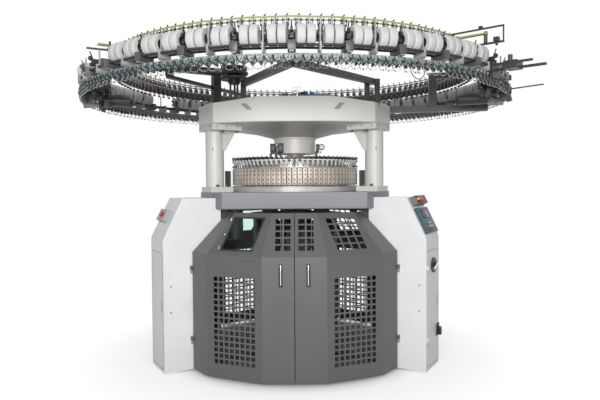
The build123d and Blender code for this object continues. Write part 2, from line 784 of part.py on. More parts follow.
# Controls on the sloped console faces
slope_run = cabinet_outer - cabinet_slope_top
slope_rise = cabinet_top - cabinet_fold_height
slope_length = hypot(slope_run, slope_rise)
console = Plane(
    origin=((cabinet_outer + cabinet_slope_top) / 2, 0, (cabinet_fold_height + cabinet_top) / 2),
    x_dir=(0, 1, 0), z_dir=(slope_rise, 0, slope_run))
box_depth = 45
button_travel = 6
button_stem = 8
button_head = 20
right_box_y = slope_length / 2 - 42
left_box_y = 10
left_button_x = 30
right_buttons = {"stop_button_right": -72, "start_button": -18}

with BuildPart() as control_panel:
    with BuildSketch(console):
        with Locations((0, -34)):
            Rectangle(244, 200)
    extrude(amount=24)
write(control_panel.part.rotate(Axis.Z, leg_angles["right"]), "control_panel")


def button_box(width, height, y, places):
    """Box on a console slope, with a stem hole for each mushroom button."""
    with BuildPart() as box:
        with BuildSketch(console):
            with Locations((0, y)):
                Rectangle(width, height)
        extrude(amount=box_depth)
        with BuildSketch(console.offset(box_depth)):
            with Locations(*[(x, y) for x in places]):
                RegularPolygon(button_stem + running_fit, pin_sides, major_radius=False)
        extrude(amount=-28, mode=Mode.SUBTRACT)
    return box.part


def mushroom_button(x, y):
    with BuildPart() as button:
        with BuildSketch(console.offset(box_depth - 20)):
            with Locations((x, y)):
                RegularPolygon(button_stem, pin_sides)
        extrude(amount=20 + button_travel + face_gap + 4)
        with BuildSketch(console.offset(box_depth + button_travel + face_gap)):
            with Locations((x, y)):
                RegularPolygon(button_head, small_sides)
        extrude(amount=14)
    return button.part


with BuildPart() as button_boxes:
    add(button_box(230, 66, right_box_y, right_buttons.values()).rotate(Axis.Z, leg_angles["right"]))
    add(button_box(150, 90, left_box_y, [left_button_x]).rotate(Axis.Z, leg_angles["left"]))
write(button_boxes.part, "button_boxes")


for name, x in right_buttons.items():
    write(mushroom_button(x, right_box_y).rotate(Axis.Z, leg_angles["right"]), name)
write(mushroom_button(left_button_x, left_box_y).rotate(Axis.Z, leg_angles["left"]), "stop_button_left")

# Overhead rings are built from straight lengths, each carrying two roller units and four feeders
side_count = unit_count // 2
side_turn = 360 / side_count
side_angles = [90 + i * side_turn for i in range(side_count)]
unit_offset = roll_ring_radius * tan(radians(side_turn / 2)) / 2


def ring(inner, outer, bottom, height):
    """Ring of straight lengths between two inscribed radii."""
    with BuildPart() as made:
        with BuildSketch(Plane.XY.offset(bottom)):
            RegularPolygon(outer, side_count, major_radius=False, rotation=90 + side_turn / 2)
            RegularPolygon(
                inner, side_count, major_radius=False, rotation=90 + side_turn / 2, mode=Mode.SUBTRACT)
        extrude(amount=height)
    return made.part


def spot_at(radius, angle, aside=0.0):
    """Sketch location at a radius and angle, turned to face outwards."""
    return Location((*turned([(radius, aside)], angle)[0], 0), (0, 0, angle))


def around(places):
    """Plan places (radius, sideways offset) repeated on every length, as sketch locations."""
    return [spot_at(radius, angle, aside) for angle in side_angles for radius, aside in places]


rod_height = rail_top + bracket_height + rod_size / 2
rails = [
    ring(roll_ring_radius - rail_half, roll_ring_radius + rail_half, rail_bottom, rail_depth),
    ring(
        roll_ring_radius + rail_half + 2, roll_ring_radius + rail_half + 2 + stop_rail_width,
        rail_bottom - stop_rail_depth, stop_rail_depth),
]
with BuildPart() as roller_brackets:
    with BuildSketch(Plane.XY.offset(rail_top)):
        with Locations(*around([(roll_ring_radius, 0)])):
            Rectangle(105, 8)
        corner = side_turn / 2
        for angle in side_angles:
            with Locations(spot_at(roll_ring_radius / cos(radians(corner)), angle + corner)):
                Rectangle(105, 26)
    extrude(amount=rod_height - rod_size / 2 - rail_top)
write(Compound([*rails, *roller_brackets.part.solids()]), "roller_rail")

with BuildPart() as drive_rollers:
    for radius in (roll_ring_radius - rod_spread, roll_ring_radius + rod_spread):
        add(ring(radius - rod_size / 2, radius + rod_size / 2, rod_height - rod_size / 2, rod_size))
write(drive_rollers.part, "drive_rollers")

roll_height = (rod_height + rod_size / 2 + face_gap
               + sqrt(roll_radius ** 2 - (rod_spread - rod_size / 2) ** 2))
with BuildPart() as elastane_rolls:
    for unit in range(unit_count):
        if unit in bare_units:
            continue
        along = unit_offset if unit % 2 else -unit_offset
        middle = radial_plane(side_angles[unit // 2], roll_ring_radius, roll_height)
        with BuildSketch(middle.offset(along - roll_width - 3)):
            RegularPolygon(roll_radius, roll_sides)
        extrude(amount=2 * roll_width + 6)
write(elastane_rolls.part, "elastane_rolls")

feeder_pitch = 2 * feeder_inner * tan(radians(side_turn / 2)) / 4
with BuildPart() as feeder_rail:
    add(ring(
        feeder_inner - face_gap - feeder_rail_width, feeder_inner - face_gap, feeder_rail_bottom, 30))
write(feeder_rail.part, "feeder_rail")

with BuildPart() as yarn_feeders:
    with BuildSketch(Plane.XY.offset(feeder_top - feeder_length)):
        places = [(feeder_inner + feeder_depth / 2, (k - 1.5) * feeder_pitch) for k in range(4)]
        with Locations(*around(places)):
            Rectangle(feeder_depth, feeder_width)
    extrude(amount=feeder_length)
write(yarn_feeders.part, "yarn_feeders")

# Arms, hangers and tubes that carry the rings from the crown
arm_top = feeder_rail_bottom
right_arm_angle = side_angles[0] - 9 * side_turn
arm_angles = {"rear": 90, "left": 210, "right": right_arm_angle}
hanger_inner = 1480
hanger_outer = 1540
foot_top = rail_bottom
foot_bottom = foot_top - 25
v_apex = Vector(0, -(roll_ring_radius - 35), foot_top - strut_size / 2)
v_ends = [Vector(-370, -540, 2100), Vector(590, -450, 2125)]
v_posts = [(-370, -540), (550, -430), (625, -440)]
right_mast_distance = 1114
beam_bottom = 1930
beam_height = 50
with BuildPart() as ring_supports:
    for name, angle in arm_angles.items():
        arm_start = right_mast_distance - 30 if name == "right" else mast_distance - 30
        with BuildSketch(Plane.XY.offset(arm_top - arm_depth)):
            with Locations(spot_at((arm_start + hanger_outer) / 2, angle)):
                Rectangle(hanger_outer - arm_start, arm_width)
        extrude(amount=arm_depth)
        with BuildSketch(Plane.XY.offset(foot_bottom)):
            with Locations(spot_at((hanger_inner + hanger_outer) / 2, angle)):
                Rectangle(hanger_outer - hanger_inner, arm_width)
        extrude(amount=arm_top - arm_depth - foot_bottom)
        foot_outer = roll_ring_radius + rail_half + 2
        with BuildSketch(Plane.XY.offset(foot_bottom)):
            with Locations(spot_at((hanger_inner + foot_outer) / 2, angle)):
                Rectangle(foot_outer - hanger_inner, arm_width)
        extrude(amount=foot_top - foot_bottom)
    with BuildSketch(Plane.XY.offset(crown_top - 60)):
        with Locations((0, mast_distance)):
            Rectangle(60, 60)
        with Locations(*v_posts):
            RegularPolygon(strut_size / 2, pin_sides)
    extrude(amount=arm_top - arm_depth - crown_top + 60)
    with BuildSketch(Plane.XY.offset(v_ends[1].Z)):
        with Locations(*v_posts):
            Rectangle(2 * strut_size, 2 * strut_size)
    extrude(amount=200, mode=Mode.SUBTRACT)
    with BuildSketch(Plane.XY.offset(v_ends[0].Z)):
        with Locations(v_posts[0]):
            Rectangle(2 * strut_size, 2 * strut_size)
    extrude(amount=200, mode=Mode.SUBTRACT)
    for end in v_ends:
        run = v_apex - end
        with BuildSketch(Plane(origin=end, x_dir=(run.Y, -run.X, 0), z_dir=run)):
            Rectangle(strut_size, strut_size)
        extrude(amount=run.length)
    with BuildSketch(Plane.XY.offset(v_ends[1].Z - strut_size / 2)):
        with Locations((588, -438)):
            Rectangle(110, strut_size)
    extrude(amount=strut_size)
    with BuildSketch(Plane.XY.offset(foot_bottom)):
        with Locations((0, v_apex.Y - 24)):
            Rectangle(90, 68)
    extrude(amount=foot_top - foot_bottom)
    beam_middle = (700 + hanger_outer) / 2
    with BuildSketch(Plane.XY.offset(beam_bottom)):
        with Locations(spot_at(beam_middle, right_arm_angle)):
            Rectangle(hanger_outer - 700, 60)
    extrude(amount=beam_height)
    with BuildSketch(Plane.XY.offset(beam_bottom + beam_height)):
        with Locations(spot_at(right_mast_distance, right_arm_angle)):
            Rectangle(60, 60)
    extrude(amount=arm_top - arm_depth - beam_bottom - beam_height)
    add(crown.part, mode=Mode.SUBTRACT)
write(ring_supports.part, "ring_supports")

# Belt drive of the feeders: mast, cross bar, idler post and adjustable quality pulleys
left_mast = turned([(mast_distance, 0)], leg_angles["left"])[0]
pulley_spot = (-440, -515)
idler_spot = (-850, -810)
bar_start = (-410, 80)
spindle = 12
idler_radius = 30
pulley_radius = 100
pulley_bottom = 2130
with BuildPart() as pulley_stand:
    with BuildSketch(Plane.XY.offset(crown_top - 60)):
        with Locations(Location((*left_mast, 0), (0, 0, 30))):
            Rectangle(60, 60)
    extrude(amount=arm_top - arm_depth - crown_top + 60)
    with BuildSketch(Plane.XY.offset(2090)):
        bar_middle = ((bar_start[0] + idler_spot[0]) / 2, (bar_start[1] + idler_spot[1]) / 2)
        bar_length = hypot(bar_start[0] - idler_spot[0], bar_start[1] - idler_spot[1])
        bar_turn = Vector(bar_start[0] - idler_spot[0], bar_start[1] - idler_spot[1], 0).get_signed_angle(
            Vector(1, 0, 0), Vector(0, 0, -1))
        with Locations(Location((*bar_middle, 0), (0, 0, bar_turn))):
            Rectangle(bar_length + 40, 30)
    extrude(amount=24)
    with BuildSketch(Plane.XY.offset(2110)):
        with Locations(idler_spot):
            RegularPolygon(idler_radius, small_sides)
    extrude(amount=100)
    with BuildSketch(Plane.XY.offset(crown_top - 60)):
        with Locations(pulley_spot):
            with PolarLocations(30, 3, start_angle=90):
                RegularPolygon(8, pin_sides)
    extrude(amount=100 + 60)
    with BuildSketch(Plane.XY.offset(crown_top + 100)):
        with Locations(pulley_spot):
            RegularPolygon(42, small_sides)
    extrude(amount=8)
    with BuildSketch(Plane.XY.offset(crown_top + 100)):
        with Locations(pulley_spot):
            Circle(spindle)
    extrude(amount=pulley_bottom + 105 - crown_top - 100)
    add(crown.part, mode=Mode.SUBTRACT)
write(pulley_stand.part, "pulley_stand")

with BuildPart() as quality_pulleys:
    for bottom, radius, height in (
            (-22, 45, 117), (0, pulley_radius, 20), (35, pulley_radius, 25), (75, pulley_radius, 20)):
        with BuildSketch(Plane.XY.offset(pulley_bottom + bottom + face_gap)):
            with Locations(pulley_spot):
                RegularPolygon(radius, drum_sides)
        extrude(amount=height)
    with BuildSketch(Plane.XY.offset(crown_top)):
        with Locations(pulley_spot):
            Circle(spindle + running_fit)
    extrude(amount=400, mode=Mode.SUBTRACT)
write(quality_pulleys.part, "quality_pulleys")

# Drive units hung under the elastane rail, and the belt tensioning arms that reach past the rings
stop_rail_outer = roll_ring_radius + rail_half + 2 + stop_rail_width
tension_length = 21
left_tension_length = 11
drive_lengths = (10, 23)
hook_start = (stop_rail_outer + 7, 0)
hook_end = (1892, -149)
roller_spots = (1440, 1634)
tension_roller = 12
tension_belt_bottom = 2313


def radial_bar(inner, outer, aside, width, bottom, height):
    """Bar that points away from the machine axis, set aside from the middle of its length."""
    with BuildPart() as bar:
        with BuildSketch(Plane.XY.offset(bottom)):
            with Locations(((inner + outer) / 2, aside)):
                Rectangle(outer - inner, width)
        extrude(amount=height)
    return bar.part


rail_face = feeder_inner - face_gap
rail_top_face = feeder_rail_bottom + 30
with BuildPart() as belt_arm:
    add(radial_bar(1354, 1376, 0, 16, rail_top_face, 86))
    add(radial_bar(1376, 1754, 0, 10, 2346, 10))
    add(radial_bar(rail_face, 1754, 0, 12, 2246, 12))
    add(radial_bar(1746, 1754, 0, 6, 2258, 88))
    add(radial_bar(1690, 1722, 0, 34, 2258, 26))
    add(radial_bar(1700, 1712, 0, 12, 2232, 14))
    add(radial_bar(1590, 1612, 0, 22, 2356, 14))
    with BuildSketch(Plane.XY.offset(2258)):
        with Locations(*[(spot, 0) for spot in roller_spots]):
            RegularPolygon(tension_roller, small_sides)
    extrude(amount=72)
with BuildPart() as lower_arm:
    add(radial_bar(stop_rail_outer, 1660, 68, 120, 2036, 20))
    add(radial_bar(1660, 1676, 68, 120, 2036, 98))
    add(radial_bar(1676, 1923, 22, 14, 2110, 14))
    add(radial_bar(1676, 1980, 98, 16, 2087, 16))
    add(radial_bar(1745, 1830, 60, 110, 2080, 50))
    with BuildSketch(Plane.XY.offset(2130)):
        with Locations((1785, 22)):
            RegularPolygon(14, small_sides)
    extrude(amount=36)
with BuildPart() as left_arm:
    add(radial_bar(1354, 1376, 0, 16, rail_top_face, 39))
    add(radial_bar(1376, 1633, 0, 12, 2297, 12))
    add(radial_bar(1470, 1482, 0, 10, 2309, 56))
with BuildPart() as drive_unit:
    add(radial_bar(1520, 1630, 0, 170, 1945, 80))
    add(radial_bar(1592, 1628, 0, 120, 2025, rail_bottom - 2025))
    with BuildSketch(Plane(origin=(1520, 0, 1992), z_dir=(-1, 0, 0))):
        RegularPolygon(46, small_sides)
    extrude(amount=210)
with BuildPart() as hook_rod:
    add(radial_bar(stop_rail_outer, stop_rail_outer + 14, 0, 20, 2038, 16))
    reach = Vector(hook_end[0] - hook_start[0], hook_end[1] - hook_start[1], 0)
    with BuildSketch(Plane(origin=(*hook_start, 2046), z_dir=reach)):
        RegularPolygon(5, pin_sides)
    extrude(amount=reach.length)
with BuildPart() as ring_drives:
    add(belt_arm.part.rotate(Axis.Z, side_angles[tension_length]))
    add(lower_arm.part.rotate(Axis.Z, side_angles[tension_length]))
    add(left_arm.part.rotate(Axis.Z, side_angles[left_tension_length]))
    for length in drive_lengths:
        add(drive_unit.part.rotate(Axis.Z, side_angles[length]))
    add(hook_rod.part.rotate(Axis.Z, side_angles[drive_lengths[1]]))
write(ring_drives.part, "ring_drives")


def belt_loop(circles, bottom, height):
    """Closed belt round two rollers, given as (place, inscribed radius)."""
    with BuildPart() as loop:
        with BuildSketch(Plane.XY.offset(bottom)):
            for spot, radius in circles:
                with Locations(spot):
                    RegularPolygon(radius + face_gap + belt_thickness, small_sides, major_radius=False)
            make_hull()
            offset(amount=-belt_thickness, mode=Mode.SUBTRACT)
        extrude(amount=height)
    return loop.part


feeder_face = feeder_inner + feeder_depth + face_gap
with BuildPart() as drive_belts:
    for bottom in (feeder_top - belt_width - 2, feeder_top - 3 * belt_width - 2):
        add(ring(feeder_face, feeder_face + belt_thickness, bottom, belt_width))
    add(belt_loop([(pulley_spot, pulley_radius), (idler_spot, idler_radius)], pulley_bottom + 40, 15))
    tension_loop = belt_loop(
        [((spot, 0), tension_roller) for spot in roller_spots], tension_belt_bottom, belt_width)
    add(tension_loop.rotate(Axis.Z, side_angles[tension_length]))
write(drive_belts.part, "drive_belts")

# Cables: two on the crown between the terminal boxes, and a loop under the stop rail
cable_radius = 9
wire_radius = 6
loop_radius = 2.5
cable_points = [
    cable_start, (60, cable_start[1]), (150, -545), (250, -540), (330, -480), (360, -390),
    (360, cable_end[1])]
wire_points = [
    (cable_start[0], -462), (60, -462), (170, -505), (260, -500), (310, -440), (340, -385),
    (340, cable_end[1])]
loop_points = [(-90, 2032), (-90, 2004), (-74, 1974), (-38, 1956), (-2, 1968), (14, 2000), (14, 2032)]
loop_length = 19


def cord_radii(points):
    """Arc radius at each corner: 0.45 of the shorter run over the tangent of half the turn."""
    radii = []
    for a, b, c in zip(points, points[1:], points[2:]):
        into = Vector(b[0] - a[0], b[1] - a[1], 0)
        out = Vector(c[0] - b[0], c[1] - b[1], 0)
        turn = into.get_angle(out)
        radii.append(0.45 * min(into.length, out.length) / tan(radians(turn / 2)))
    return radii


def cord(name, plane, points, radius, turn=0):
    radii = cord_radii(points)
    with BuildPart() as tube:
        with BuildLine(plane) as path:
            FilletPolyline(*points, radius=radii)
        with BuildSketch(Plane(origin=path.wire() @ 0, z_dir=path.wire() % 0)):
            Circle(radius)
        sweep()
    length = path.wire().length
    share = tube.part.volume / (pi * radius ** 2 * length)
    print(name, "length", round(length, 1), "radii", [round(r) for r in radii])
    print(name, "volume over area times length", round(share, 4))
    write(tube.part.rotate(Axis.Z, turn), name)


cord("crown_cable", Plane.XY.offset(crown_top + cable_radius + face_gap), cable_points, cable_radius)
cord("crown_wire", Plane.XY.offset(crown_top + wire_radius + face_gap), wire_points, wire_radius)
loop_plane = Plane(
    origin=(stop_rail_outer - stop_rail_width / 2, 0, 0), x_dir=(0, 1, 0), z_dir=(1, 0, 0))
cord("ring_cable", loop_plane, loop_points, loop_radius, turn=side_angles[loop_length])
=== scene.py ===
import math
import random

import bmesh
import bpy
from mathutils import Matrix, Vector


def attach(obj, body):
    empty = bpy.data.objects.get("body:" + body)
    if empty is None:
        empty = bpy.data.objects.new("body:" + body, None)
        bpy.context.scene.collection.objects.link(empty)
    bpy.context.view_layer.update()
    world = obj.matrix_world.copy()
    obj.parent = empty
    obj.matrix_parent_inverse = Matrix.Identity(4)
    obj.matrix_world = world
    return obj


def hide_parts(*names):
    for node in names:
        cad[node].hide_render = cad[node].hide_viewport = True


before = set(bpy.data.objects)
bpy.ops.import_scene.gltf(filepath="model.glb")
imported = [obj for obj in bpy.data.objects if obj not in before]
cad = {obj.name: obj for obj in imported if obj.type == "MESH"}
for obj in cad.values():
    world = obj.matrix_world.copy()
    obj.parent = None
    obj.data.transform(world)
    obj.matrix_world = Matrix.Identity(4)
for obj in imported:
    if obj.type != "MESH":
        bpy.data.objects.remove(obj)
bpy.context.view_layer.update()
random.seed(4)
print("frame loaded")


# Selecting, copying and joining

def deselectAll():
    if bpy.context.mode != "OBJECT":
        bpy.ops.object.mode_set(mode="OBJECT")
    bpy.ops.object.select_all(action="DESELECT")


def makeActive(piece):
    deselectAll()
    piece.select_set(True)
    bpy.context.view_layer.objects.active = piece


def pickParts(piece, kind, test):  # leaves the piece in edit mode with those parts selected
    makeActive(piece)
    bpy.ops.object.mode_set(mode="EDIT")
    bpy.ops.mesh.select_mode(type=kind)
    bpy.ops.mesh.select_all(action="DESELECT")
    shape = bmesh.from_edit_mesh(piece.data)
    for part in {"VERT": shape.verts, "EDGE": shape.edges, "FACE": shape.faces}[kind]:
        part.select_set(test(part))
    if kind == "VERT":
        shape.select_flush(True)
    bmesh.update_edit_mesh(piece.data)


def pickFaces(piece, facing, both=False):  # both also takes the faces that look the other way
    facing = Vector(facing)

    def faces(face):
        lean = face.normal.dot(facing)
        return (abs(lean) if both else lean) > 0.9

    pickParts(piece, "FACE", faces)


def leaveEdit():
    bpy.ops.object.mode_set(mode="OBJECT")


def settlePlace(piece):
    makeActive(piece)
    bpy.ops.object.transform_apply(location=True, rotation=True, scale=True)
    return piece


def placePiece(piece, place):
    piece.matrix_world = place
    return settlePlace(piece)


def bevelPiece(piece, width, steps=2, angle=35):
    makeActive(piece)
    bevel = piece.modifiers.new("edges", "BEVEL")
    bevel.width = width
    bevel.segments = steps
    bevel.limit_method = "ANGLE"
    bevel.angle_limit = math.radians(angle)
    bevel.use_clamp_overlap = True
    bpy.ops.object.modifier_apply(modifier="edges")
    return piece


def joinPieces(pieces, name):
    deselectAll()
    for piece in pieces:
        piece.select_set(True)
    bpy.context.view_layer.objects.active = pieces[0]
    if len(pieces) > 1:
        bpy.ops.object.join()
    joined = bpy.context.view_layer.objects.active
    joined.name = name
    joined.data.name = name
    return settlePlace(joined)


def copyTo(pattern, places, name):  # one copy of the pattern at each place, joined, and the pattern removed
    copies = []
    for place in places:
        piece = pattern.copy()
        piece.data = pattern.data.copy()
        piece.matrix_world = place
        bpy.context.scene.collection.objects.link(piece)
        copies.append(piece)
    bpy.data.objects.remove(pattern)
    return joinPieces(copies, name)


def movePlace(x, y, z):
    return Matrix.Translation((x, y, z))


def spinPlace(degrees, axis):
    return Matrix.Rotation(math.radians(degrees), 4, axis)


def turnPlace(angle, radius, height=0.0, aside=0.0):  # x runs outwards, y along the ring, z up
    return spinPlace(angle, "Z") @ movePlace(radius, aside, height)


def facePlace(middle, along, outward):  # x along the face, y up it, z out of it
    along, outward = Vector(along).normalized(), Vector(outward).normalized()
    place = Matrix((along, outward.cross(along), outward)).transposed().to_4x4()
    place.translation = middle
    return place


mergeWithin = 0.00002
flatWithin = math.radians(0.5)


def mergedCopy(node, name):  # a copy of the node, with its split corners merged and its flat faces whole again
    piece = cad[node].copy()
    piece.data = cad[node].data.copy()
    piece.parent = None
    for key in list(piece.keys()):
        del piece[key]
    bpy.context.scene.collection.objects.link(piece)
    piece.hide_viewport = False
    piece.hide_render = False
    piece.hide_set(False)
    piece.name = name
    makeActive(piece)
    bpy.ops.object.mode_set(mode="EDIT")
    bpy.ops.mesh.select_all(action="SELECT")
    bpy.ops.mesh.remove_doubles(threshold=mergeWithin)
    bpy.ops.mesh.dissolve_limited(angle_limit=flatWithin)
    leaveEdit()
    return piece


def evenNormals(piece):  # the large faces keep their own normals, so their shading stays flat
    makeActive(piece)
    piece.modifiers.new("even", "WEIGHTED_NORMAL").keep_sharp = True
    bpy.ops.object.modifier_apply(modifier="even")


def finishPiece(piece, finish, body="frame", replaced=(), smooth=None):
    piece.data.materials.clear()
    piece.data.materials.append(finishes[finish])
    if smooth:
        makeActive(piece)
        bpy.ops.object.shade_smooth_by_angle(angle=math.radians(smooth))
    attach(piece, body)
    if replaced:
        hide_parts(*replaced)
    return piece


def makePiece(name, pieces, finish, body="frame", place=None, replaced=(), smooth=40):
    piece = joinPieces(pieces, name)
    if place is not None:
        placePiece(piece, place)
    return finishPiece(piece, finish, body, replaced, smooth)


def makeCopies(name, parts, places, finish, body="frame", replaced=(), smooth=40):
    pattern = joinPieces(parts, name + "Pattern")
    return finishPiece(copyTo(pattern, places, name), finish, body, replaced, smooth)


# Pieces to start from

origin = (0, 0, 0)


def addBlock(size, at=origin, edge=0.001, steps=2):
    deselectAll()
    bpy.ops.mesh.primitive_cube_add(size=1, location=at, scale=size)
    piece = settlePlace(bpy.context.active_object)
    return bevelPiece(piece, edge, steps) if edge else piece


def addRound(radius, depth, at=origin, sides=24, along="Z", edge=0.001, tip=None):
    deselectAll()
    turns = {"Z": origin, "X": (0, math.pi / 2, 0), "Y": (math.pi / 2, 0, 0)}
    bpy.ops.mesh.primitive_cone_add(
        vertices=sides, radius1=radius, radius2=radius if tip is None else tip,
        depth=depth, location=at, rotation=turns[along])
    piece = settlePlace(bpy.context.active_object)
    return bevelPiece(piece, edge, 1, 50) if edge else piece


def addRod(start, end, radius, sides=8):
    start, end = Vector(start), Vector(end)
    run = end - start
    deselectAll()
    bpy.ops.mesh.primitive_cylinder_add(
        vertices=sides, radius=radius, depth=run.length, location=(start + end) / 2,
        rotation=run.to_track_quat("Z", "Y").to_euler())
    return settlePlace(bpy.context.active_object)


def openMiddle(piece, along, border):  # an opening right through the piece, inside a border
    pickFaces(piece, along, both=True)
    bpy.ops.mesh.inset(thickness=border, depth=0)
    bpy.ops.mesh.bridge_edge_loops()
    leaveEdit()
    return piece


def addFrame(size, at, border, edge=0.0006):  # upright frame in the XZ plane, open in the middle
    return bevelPiece(openMiddle(addBlock(size, at, 0), (0, 1, 0), border), edge, 1)


def addTube(outer, inner, depth, at=origin, sides=16):  # ring about Z
    border = (outer - inner) * math.cos(math.pi / sides)
    return openMiddle(addRound(outer, depth, at, sides, edge=0), (0, 0, 1), border)


starters = {"block": addBlock, "round": addRound, "rod": addRod, "tube": addTube}


def addParts(rows):  # each row: the kind, then what that kind's function takes
    return [starters[kind](*values) for kind, *values in rows]


def cutRound(piece, place, radius):  # a round hole through the piece along the place's z
    cutter = placePiece(addRound(radius, 0.05, edge=0), place)
    makeActive(piece)
    cut = piece.modifiers.new("cut", "BOOLEAN")
    cut.object = cutter
    cut.solver = "EXACT"
    bpy.ops.object.modifier_apply(modifier="cut")
    bpy.data.objects.remove(cutter)


# Finishes

def setValues(node, values):
    for socket, value in values.items():
        node.inputs[socket].default_value = value


def addNode(tree, kind, values=None, links=None, **options):
    node = tree.nodes.new(kind)
    for option, value in options.items():
        setattr(node, option, value)
    setValues(node, values or {})
    for socket, source in (links or {}).items():
        tree.links.new(source, node.inputs[socket])
    return node


def startMaterial(name):
    material = bpy.data.materials.new(name)
    material.use_nodes = True
    tree = material.node_tree
    return material, tree, tree.nodes["Principled BSDF"], addNode(tree, "ShaderNodeTexCoord")


def addNoise(tree, place, scale, detail=3.0, stretch=(1, 1, 1)):
    mapping = addNode(tree, "ShaderNodeMapping", {"Scale": stretch}, {"Vector": place.outputs["Object"]})
    noise = addNode(
        tree, "ShaderNodeTexNoise", {"Scale": scale, "Detail": detail}, {"Vector": mapping.outputs["Vector"]})
    return noise.outputs["Fac"]


def addRamp(tree, source, stops):  # stops are position and colour
    ramp = addNode(tree, "ShaderNodeValToRGB", links={"Fac": source})
    elements = ramp.color_ramp.elements
    while len(elements) < len(stops):
        elements.new(0.5)
    for element, (position, colour) in zip(elements, stops):
        element.position = position
        element.color = (*colour, 1)
    return ramp.outputs["Color"]


def scaled(colour, share):
    return [level * share for level in colour]


def addShade(tree, source, colour, share, low=0.3, high=0.7):  # from a share of the colour to the colour
    return addRamp(tree, source, ((low, scaled(colour, share)), (high, colour)))


def addBump(tree, shader, source, strength, distance):
    bump = addNode(tree, "ShaderNodeBump", {"Strength": strength, "Distance": distance}, {"Height": source})
    tree.links.new(bump.outputs["Normal"], shader.inputs["Normal"])


def addRough(tree, shader, source, low, high):
    spread = addNode(tree, "ShaderNodeMapRange", {"To Min": low, "To Max": high}, {"Value": source})
    tree.links.new(spread.outputs["Result"], shader.inputs["Roughness"])


# Each kind's noises as scale and detail, its bump as strength and distance, its spread of roughness

paint = {
    "mottle": (5, 4), "shade": 0.94, "dustHeight": 0.35, "dustShade": 0.78, "bump": (0.06, 0.0006),
    "spread": (0.05, 0.07), "coat": {"Coat Weight": 0.15, "Coat Roughness": 0.25},
}
metal = {"grain": (60, 4), "stain": (7, 3), "stops": (0.35, 0.6), "bump": (0.05, 0.0004), "spread": (0.07, 0.1)}
moulded = {"cloud": (14, 3), "shade": 0.85, "sparkReach": 0.0003, "spread": (0.06, 0.06)}
wound = {"shade": 0.93, "bump": (0.25, 0.0008), "values": {"Roughness": 0.72, "Sheen Weight": 0.15}}
glass = {"cloud": (9, 2), "rough": (0.02, 0.06)}


def spreadRough(tree, shader, source, rough, spread):
    addRough(tree, shader, source, rough - spread[0], rough + spread[1])


def paintFinish(name, colour, rough, dust=0.25, peel=420):  # fine orange peel, a faint mottle, dust towards the floor
    material, tree, shader, place = startMaterial(name)
    mottle = addNoise(tree, place, *paint["mottle"])
    shade = addShade(tree, mottle, colour, paint["shade"])
    split = addNode(tree, "ShaderNodeSeparateXYZ", links={"Vector": place.outputs["Object"]})
    settled = addNode(
        tree, "ShaderNodeMapRange", {"From Max": paint["dustHeight"], "To Min": dust, "To Max": 0.0},
        {"Value": split.outputs["Z"]})
    mix = addNode(
        tree, "ShaderNodeMix", {"B": (*scaled(colour, paint["dustShade"]), 1)},
        {"Factor": settled.outputs["Result"], "A": shade}, data_type="RGBA")
    tree.links.new(mix.outputs["Result"], shader.inputs["Base Color"])
    addBump(tree, shader, addNoise(tree, place, peel, 2), *paint["bump"])
    spreadRough(tree, shader, mottle, rough, paint["spread"])
    setValues(shader, paint["coat"])
    return material


def metalFinish(name, colour, rough, shade=0.8, stretch=(1, 1, 14), pure=1.0):  # streaks along the grain, some stain
    material, tree, shader, place = startMaterial(name)
    grain = addNoise(tree, place, *metal["grain"], stretch)
    stain = addNoise(tree, place, *metal["stain"])
    tree.links.new(addShade(tree, stain, colour, shade, *metal["stops"]), shader.inputs["Base Color"])
    setValues(shader, {"Metallic": pure})
    spreadRough(tree, shader, grain, rough, metal["spread"])
    addBump(tree, shader, grain, *metal["bump"])
    return material


def mouldedFinish(name, colour, rough, spark=900, sparkDepth=0.12):  # plastic or rubber with a fine spark texture
    material, tree, shader, place = startMaterial(name)
    cloud = addNoise(tree, place, *moulded["cloud"])
    tree.links.new(addShade(tree, cloud, colour, moulded["shade"]), shader.inputs["Base Color"])
    addBump(tree, shader, addNoise(tree, place, spark, 2), sparkDepth, moulded["sparkReach"])
    spreadRough(tree, shader, cloud, rough, moulded["spread"])
    return material


def woundFinish(name, colour, turns, cloud):  # yarn wound on a roll, with fine turns round its width
    material, tree, shader, place = startMaterial(name)
    addBump(tree, shader, addNoise(tree, place, turns), *wound["bump"])
    shade = addShade(tree, addNoise(tree, place, cloud, 2), colour, wound["shade"])
    tree.links.new(shade, shader.inputs["Base Color"])
    setValues(shader, wound["values"])
    return material


def glassFinish(name, colour, clear, bend):
    material, tree, shader, place = startMaterial(name)
    addRough(tree, shader, addNoise(tree, place, *glass["cloud"]), *glass["rough"])
    setValues(shader, {"Base Color": (*colour, 1), "Transmission Weight": clear, "IOR": bend})
    return material


